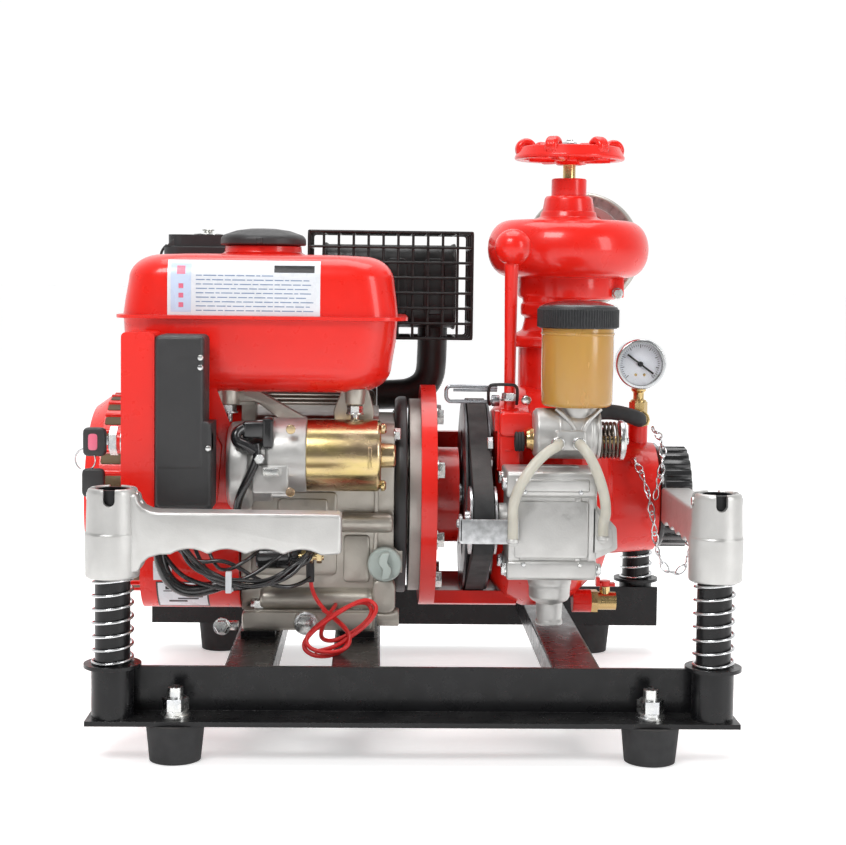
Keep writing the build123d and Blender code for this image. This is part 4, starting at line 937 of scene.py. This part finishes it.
def labels():
    """Plain labels: bars and blocks instead of lettering."""
    def wall(front, corner_z, r, way):
        """The Y of a wall that rounds away above its corner height, or below it where way is -1."""
        return lambda z: front + r - sqrt(max(0, r ** 2 - max(0, way * (z - corner_z)) ** 2))

    def tank_wall(lift):
        return wall(TANK_FRONT - lift, SHOULDER_Z, SHOULDER_R, 1)

    def fan_wall(lift):
        return wall(FAN_FRONT - lift, FAN_CORNER_Z, FAN_CORNER_R, -1)

    decal("tank_label", -210, -81, 351, 398, tank_wall(0.25)).done("red_paint", material="white_print")
    decal("tank_label_band", -207, -190, 354, 395, tank_wall(0.4)).done("red_paint", material="pale_blue")
    lines = Piece("tank_label_lines")
    widths = (5.0, 8.5, 3.5, 11.0, 6.5, 9.5, 4.5, 7.5)
    for n in range(9):
        z = 355.0 + n * 3.7
        x, word = -186.0, n
        while x < (-130 if n == 8 else -92):
            width = widths[word % 8]
            lines.patch(decal("word", x, x + width, z, z + 0.9, tank_wall(0.4), 1, 1))
            x += width + 1.3
            word += 3
    lines.done("red_paint", material="blue_print")
    marks = Piece("tank_label_marks")
    for z, size in ((386, 7), (374, 4), (366, 4), (358, 4)):
        marks.patch(decal("mark", -198.5 - size / 2, -198.5 + size / 2, z, z + size, tank_wall(0.55), 1, 2))
    marks.done("red_paint", material="pink_plastic")
    head = decal("tank_label_head", -120, -86, 388, 394, tank_wall(0.4), 2, 4)
    head.done("red_paint", material="black_print")
    decal("fan_label", -222, -177, 93.5, 119.5, fan_wall(0.3)).done("red_paint", material="black_print")
    face = decal("fan_label_face", -220.6, -178.4, 94.6, 118.4, fan_wall(0.45))
    face.done("red_paint", material="white_print")
    decal("fan_label_upper", -224, -208, 121, 138, fan_wall(0.3)).done("red_paint", material="white_print")
    sketch = Piece("fan_label_sketch")
    for x0, x1, z0, z1 in ((-212, -196, 99, 101), (-204, -186, 102, 103.4), (-192, -182, 104, 108),
            (-216, -200, 110, 111), (-214, -206, 112, 115)):
        sketch.patch(decal("stroke", x0, x1, z0, z1, fan_wall(0.6), 2, 3))
    sketch.done("red_paint", material="black_print")


def air_cleaner_top():
    knob = Piece("air_cleaner_knob")
    knob.lathe([(423.8, 14), (425.6, 14), (426, 5), (428, 4), (429, 6), (429.9, 6)], (-198, 112, 0), Z, 0.5)
    knob.done("zinc")


def muffler_guard():
    guard = Piece("muffler_guard_wires")
    x0, x1, y0, y1, z0, z1 = -98.0, 58.0, 67.4, 170.0, 327.4, 428.6
    wires = []
    for n in range(12):
        x = x0 + (x1 - x0) * n / 11
        wires.append([(x, y1, z0), (x, y0, z0), (x, y0, z1), (x, y1, z1)])
    r = 1.3
    for n in range(8):
        z = z0 + (z1 - z0) * n / 7
        wires.append([(x0, y1, z), (x0, y0 - r, z), (x1, y0 - r, z), (x1, y1, z)])
    for n in range(4):
        y = y0 + (y1 - y0) * n / 3
        wires.append([(x0, y, z0), (x0, y, z1), (x1, y, z1), (x1, y, z0), (x0 + 2, y, z0)])
    for wire in wires:
        guard.sweep(wire, r, smooth=False, sides=8)
    guard.done("black_enamel", replaces="muffler_cage")
    can = Piece("muffler_can")
    can.block(-86, 43, 79, 160, 337, 417, 22, "X", 3, 3)
    for x in (-84, 40):
        can.block(x, x + 3, 77.4, 161.6, 335.6, 418.6, 24, "X", 1)
    for n in range(3):
        can.block(-60 + n * 36, -40 + n * 36, 77.6, 82, 350, 404, 6, "Y", 1.4)
    can.sweep([(22, 112, 340), (22, 112, 310), (20, 112, 285), (4, 112, 272), (-20, 112, 270),
        (-31.8, 112, 270)], 14.5)
    can.done("black_enamel", replaces="muffler")


def suction_cap():
    cap = Piece("suction_cap_knurled")
    outline, teeth = [], 26
    for n in range(teeth):
        for step, r in ((0.06, 44.2), (0.22, 47), (0.72, 47), (0.88, 44.2)):
            angle = (n + step) * 2 * pi / teeth
            outline.append((AXIS_Y + r * cos(angle), AXIS_Z + r * sin(angle)))
    cap.prism(outline, 228.4, 256.5, "X", 0, 1.1)
    cap.lathe([(228, 40.6), (228, 46.6), (231, 47.4), (233, 46.4), (233, 40.6)], AXLE, X, 0.6, 72,
        hollow=True)
    cap.lathe([(252, 44), (257, 43), (258, 30), (255.4, 28)], AXLE, X, 0.8, 72)
    cap.rod((253, -24, 150), (253, 0, 158), 3)
    cap.done("black_plastic", "suction_cap", material="black_gloss", replaces="suction_cap")


def louvres():
    """The slots round the rim of the recoil housing: dark blocks of painted shade in place of cut openings,
    with red ribs between them.
    """
    slot_painted_shade = Piece("recoil_slot_painted_shade")
    ribs = Piece("recoil_ribs")
    y, z, count = AXIS_Y, AXIS_Z, 28
    for n in range(count):
        turn = Matrix.Rotation(n * 2 * pi / count, 4, "X")
        # Each slot is two thin dark blocks on the rim: painted shade where the opening would be.
        slot = Piece("slot").block(-274, -243, y - 5, y + 5, z + 88, z + 90.5, 3, "Z", 0.4)
        slot.block(-283, -276, y - 4, y + 4, z + 80, z + 84.4, 1, "Z", 0.3)
        slot.turned(turn, AXLE)
        slot_painted_shade.patch(slot)
        rib = Piece("rib").block(-275, -242, y + 6.4, y + 9.6, z + 86, z + 91.4, 0, "Z", 1.0)
        rib.turned(turn, AXLE)
        ribs.patch(rib)
    slot_painted_shade.done("red_paint", material="louvre_painted_shade")
    ribs.done("red_paint")


def adapter_skirt():
    skirt = Piece("adapter_skirt")
    skirt.lathe([(-15.4, 60), (-15.4, 88), (-12, 91), (-4.4, 91), (-4.4, 60)], AXLE, X, 2, 80, hollow=True)
    skirt.done("grey_iron", material="charcoal")


def loose_wire(name, points, diameter, slot="black_plastic", material="black_gloss"):
    """One insulated wire that has no node of its own."""
    piece = Piece(name)
    path = curve_points(points, 10)
    piece.sweep(path, diameter / 2, smooth=False, sides=12)
    obj = piece.done(slot, material=material)


def branches():
    """The other wires of the bundle under the control box."""
    loose_wire("harness_trunk", [(-212, -112, 172), (-215, -119, 158), (-214, -124, 142), (-206, -127, 126),
        (-192, -128, 118), (-176, -127, 119), (-160, -126, 125)], 11)
    loose_wire("harness_branch_a", [(-212, -122, 150), (-200, -128, 134), (-182, -131, 126),
        (-160, -131, 121), (-138, -130, 122), (-118, -127, 128), (-100, -122, 136), (-92, -116, 143)], 4)
    loose_wire("harness_branch_b", [(-206, -121, 160), (-194, -127, 149), (-178, -130, 143),
        (-162, -131, 146), (-148, -130, 140), (-134, -128, 130), (-118, -125, 123), (-100, -118, 120),
        (-88, -104, 126)], 3.6)
    loose_wire("harness_branch_c", [(-188, -117, 162), (-181, -125, 142), (-166, -131, 131),
        (-148, -132, 127), (-130, -129, 136), (-115, -123, 147), (-104, -114, 152)], 3.6)
    loose_wire("harness_branch_d", [(-176, -118, 158), (-168, -128, 139), (-156, -135, 137),
        (-142, -134, 145), (-134, -127, 150), (-130, -116, 152)], 3.2, "red_insulation", "black_gloss")


def tank():
    """The pressed fuel tank: two shells on a welded seam, a filler neck and soft corners."""
    # Each row: height, set-in from the left, from the right and from front and back, corner radius.
    rows = [(284.5, 34, 40, 34, 34), (285.4, 26, 30, 26, 34)]
    for n in range(1, 9):
        a = radians(90 * n / 8)
        rows.append((285 + 24 * (1 - cos(a)), 2 + 24 * (1 - sin(a)), 5 + 27 * (1 - sin(a)),
            1 + 24 * (1 - sin(a)), 36))
    rows += [(330, 1.2, 1.6, 0.4, 34), (SEAM_Z - 0.4, 0.4, 0.4, 0, 32), (SEAM_Z, -5.2, -8.6, -4.6, 32),
        (SEAM_Z + 3, -5.2, -8.6, -4.6, 32), (SEAM_Z + 3.4, 0, 0, 0, 32), (366, 2.0, 1.5, 0, 33),
        (SHOULDER_Z, 4.6, 3.6, 0, 34)]
    for n in range(1, 10):
        a = radians(90 * n / 9)
        rows.append((SHOULDER_Z + SHOULDER_R * sin(a), 4.6 + 26 * (1 - cos(a)), 3.6 + 26 * (1 - cos(a)),
            SHOULDER_R * (1 - cos(a)), 34))
    rows += [(404, 48, 46, 40, 30)]
    bm = bmesh.new()
    rings = []
    for z, left, right, depth, corner in rows:
        x0, x1, y0, y1 = TANK_LEFT + left, TANK_RIGHT - right, TANK_FRONT + depth, TANK_BACK - depth
        corner = min(corner, (y1 - y0) / 2 - 1)
        ring = []
        for cx, cy, start in ((x1 - corner, y1 - corner, 0), (x0 + corner, y1 - corner, 90),
                (x0 + corner, y0 + corner, 180), (x1 - corner, y0 + corner, 270)):
            for k in range(9):
                a = radians(start + 90 * k / 8)
                ring.append(bm.verts.new((cx + corner * cos(a), cy + corner * sin(a), z)))
        rings.append(ring)
    skin(bm, rings)
    bm.faces.new(rings[0])
    bm.faces.new(rings[-1])
    piece = Piece("fuel_tank_shell")
    piece.join(bm)
    piece.lathe([(401, 40), (404.6, 37.5), (406, 34.5), (411.5, 34), (412, 33), (412, 27)], FILLER, Z, 1.2,
        72, hollow=True)
    piece.done("red_paint", replaces="fuel_tank")


def tank_cap():
    cap = Piece("fuel_cap_moulding")
    cap.lathe([(412.4, 27), (412.4, 37), (413.2, 38.2), (418.5, 38), (421.5, 35.6), (425.5, 24),
        (427.2, 12), (427.6, 0)], FILLER, Z, 1.6, 96, hollow=True)
    cap.lathe([(412.4, 27), (399, 26.4), (399, 0)], FILLER, Z, 0.8, 64, hollow=True)
    for n in range(3):
        turn = n * 2 * pi / 3 + 0.5
        x, y = FILLER[0] + 37.4 * cos(turn), FILLER[1] + 37.4 * sin(turn)
        cap.block(x - 2.5, x + 2.5, y - 2.5, y + 2.5, 413, 418.4, 1.5, "Z", 0.6)
    cap.done("black_plastic", "fuel_cap", material="charcoal", replaces="fuel_cap")


def springs():
    """Each spring has closed ends and rides on its corner's lift body."""
    low, high, r, wire, turns = 77.2, 145.7, 16.0, 1.15, 7.5
    for corner, (sx, sy) in CORNERS.items():
        x, y = sx * POST_X, FRAME_Y + sy * POST_Y
        path = []
        count = int(turns * 28)
        for n in range(count + 1):
            turn = turns * n / count
            share = min(1, max(0, (turn - 0.7) / (turns - 1.4)))
            z = low + wire + (high - low - 2 * wire) * share
            angle = 2 * pi * turn
            path.append((x + r * cos(angle), y + r * sin(angle), z))
        coil = Piece(corner + "_coil")
        coil.sweep(path, wire, smooth=False, sides=10)
        obj = coil.done("spring_steel", corner + "_lift", replaces=corner + "_spring")
        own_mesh(obj)


def filter_lid():
    lid = Piece("air_cleaner_lid")
    lid.block(-236, -154, 76, 166, 406, 413, 15, "Z", 2.4, 3)
    lid.prism([(-236, 412), (-154, 412), (-160, 424), (-206, 424.6), (-228, 420)], 80, 162, "Y", 4, 2, 3)
    for n in range(2):
        lid.sweep([(-240, 95 + 52 * n, 392), (-242.5, 95 + 52 * n, 400), (-241, 95 + 52 * n, 410),
            (-236, 95 + 52 * n, 414)], 1.3)
    lid.done("black_plastic", material="charcoal")


def lead_loops():
    """The slack of the starter lead, looped under the oil filler."""
    loose_wire("starter_lead_loops", [(-76, -112, 100), (-62, -124, 93), (-51, -140, 83), (-57, -150, 74),
        (-69, -153, 69), (-84, -152, 69), (-93, -147, 76), (-85, -139, 87), (-68, -131, 98),
        (-50, -122, 108), (-37, -118, 111), (-29, -122, 104), (-36, -132, 94), (-52, -142, 83),
        (-68, -148, 74), (-82, -149, 72)], 3.8, "red_insulation", "red_insulation")


# Finger grooves of the hand grips, and how each handle is turned on its post.
FINGER_PITCH = 29.5
TURNS = {"front_left": 0, "front_right": 90, "rear_left": 0, "rear_right": 180}


def carry_handle(corner):
    """A cast grip: a slotted socket over the post and an arm with finger grooves underneath."""
    sx, sy = CORNERS[corner]
    grip = Piece(corner + "_handle_casting")
    grip.lathe([(146, 14.3), (146, 20.4), (147.5, 21.4), (181, 21.8), (182.4, 21.0), (214, 20.0),
        (217, 18.8), (217, 14.3), (146, 14.3)], (0, 0, 0), Z, 1.6, 72, hollow=True)
    outline = [(15, 213), (20.6, 213), (22, 207), (25.5, 202.4), (31, 199.8), (38, 199), (179, 198.4),
        (181, 196.5), (181, 168.5), (179, 166.8)]
    for n in range(4):
        for k in range(9):
            x = 165 - n * FINGER_PITCH - k * FINGER_PITCH / 8
            outline.append((x, 165.8 + 4.4 * sin(pi * k / 8) ** 0.8))
    outline += [(38, 165.4), (30, 163), (25, 158.5), (22.4, 152), (15, 150)]
    cleaned = [p for n, p in enumerate(outline) if (Vector(p) - Vector(outline[n - 1])).length > 0.4]
    grip.prism(cleaned, -13.6, 13.6, "Y", 0, 4.6, 4)
    cutter = Piece("cutter").rod((0, 0, 140), (0, 0, 225), 14.3, 0, 64)
    grip.cut(cutter)
    for angle in (0, 90):
        notch = Piece("notch").block(-30, 30, -4.6, 4.6, 208.5, 222, 0, "Z", 0)
        notch.rod((-30, 0, 208.5), (30, 0, 208.5), 4.6, 0)
        notch.turned(Matrix.Rotation(radians(angle), 4, "Z"), (0, 0, 0))
        grip.cut(notch)
    post = (sx * POST_X, FRAME_Y + sy * POST_Y, 0)
    place = Matrix.Translation(post) @ Matrix.Rotation(radians(TURNS[corner]), 4, "Z")
    grip.turned(place, (0, 0, 0))
    grip.done("cast_aluminium", corner + "_grip", replaces=corner + "_handle")
    pin = Piece(corner + "_handle_pin")
    for side in (-1, 1):
        pin.rod((side * 14.3, 0, 210), (side * 20.4, 0, 210), 3.4)
    if TURNS[corner] % 180 == 90:
        pin.turned(Matrix.Rotation(radians(90), 4, "Z"), (0, 0, 0))
    pin.turned(place, (0, 0, 0))
    pin.done("zinc", corner + "_grip")


chain()
handwheel()
valve_casting()
coupling_lugs()
oil_cup()
valve_block()
gauge()
priming_lever()
vacuum_pump()
starter()
hex_bolts()
engine_front()
harness()
control_box()
labels()
air_cleaner_top()
muffler_guard()
suction_cap()
louvres()
adapter_skirt()
branches()
lead_loops()
tank()
tank_cap()
springs()
filter_lid()
for corner in CORNERS:
    carry_handle(corner)


# ---- stage ----
def floor():
    mesh = bpy.data.meshes.new("floor")
    mesh.from_pydata([(-60, -60, 0), (60, -60, 0), (60, 60, 0), (-60, 60, 0)], [], [(0, 1, 2, 3)])
    material = bpy.data.materials.new("studio_floor")
    material.use_nodes = True
    shader = material.node_tree.nodes["Principled BSDF"]
    shader.inputs["Base Color"].default_value = (0.86, 0.86, 0.86, 1)
    shader.inputs["Roughness"].default_value = 0.55
    shader.inputs["Emission Color"].default_value = (1, 1, 1, 1)
    shader.inputs["Emission Strength"].default_value = 0.45
    mesh.materials.append(material)
    obj = put("floor", mesh)
    obj.location.z = -0.0005


def lamp(name, place, size, power):
    """A soft rectangular lamp aimed at the middle of the machine."""
    data = bpy.data.lights.new(name, "AREA")
    data.shape = "RECTANGLE"
    data.size, data.size_y = size
    data.energy = power
    obj = put(name, data)
    obj.location = place
    obj.rotation_euler = (Vector((0.0, 0.0, 0.25)) - Vector(place)).to_track_quat("-Z", "Y").to_euler()


def sky():
    """A white surround that is dimmer on the camera's side."""
    world = bpy.data.worlds.new("studio")
    world.use_nodes = True
    nodes, wires = world.node_tree.nodes, world.node_tree.links
    back = nodes["Background"]
    back.inputs["Color"].default_value = (1, 1, 1, 1)
    way = nodes.new("ShaderNodeTexCoord")
    parts = nodes.new("ShaderNodeSeparateXYZ")
    shade = nodes.new("ShaderNodeMapRange")
    for socket, number in zip(RANGE_SOCKETS, (-0.4, 0.7, 0.20, 1.03)):
        shade.inputs[socket].default_value = number
    wires.new(way.outputs["Generated"], parts.inputs[0])
    wires.new(parts.outputs["Y"], shade.inputs["Value"])
    wires.new(shade.outputs["Result"], back.inputs["Strength"])
    bpy.context.scene.world = world
    bpy.context.scene.view_settings.view_transform = "Standard"


def camera():
    """Looks at the front from a little above, with a slight roll."""
    yaw, pitch, roll = (radians(a) for a in (1.65, 3.73, 0.72))
    forward = Vector((sin(yaw) * cos(pitch), cos(yaw) * cos(pitch), -sin(pitch)))
    level = Vector((cos(yaw), -sin(yaw), 0))
    right = level * cos(roll) + level.cross(forward) * sin(roll)
    data = bpy.data.cameras.new("camera")
    data.sensor_width = 36.0
    data.lens = 71.1
    data.shift_y = -0.0402
    obj = put("camera", data)
    turn = Matrix((right, right.cross(forward), -forward)).transposed().to_4x4()
    obj.matrix_world = Matrix.Translation(metres((-33.8, -1531.0, 383.7))) @ turn
    bpy.context.scene.camera = obj


floor()
lamp("key", (-0.9, -1.7, 2.1), (1.1, 0.8), 38)
lamp("fill", (1.9, -1.5, 1.0), (0.7, 1.5), 17)
lamp("top", (0.0, 0.3, 2.3), (1.8, 1.4), 28)
sky()
camera()
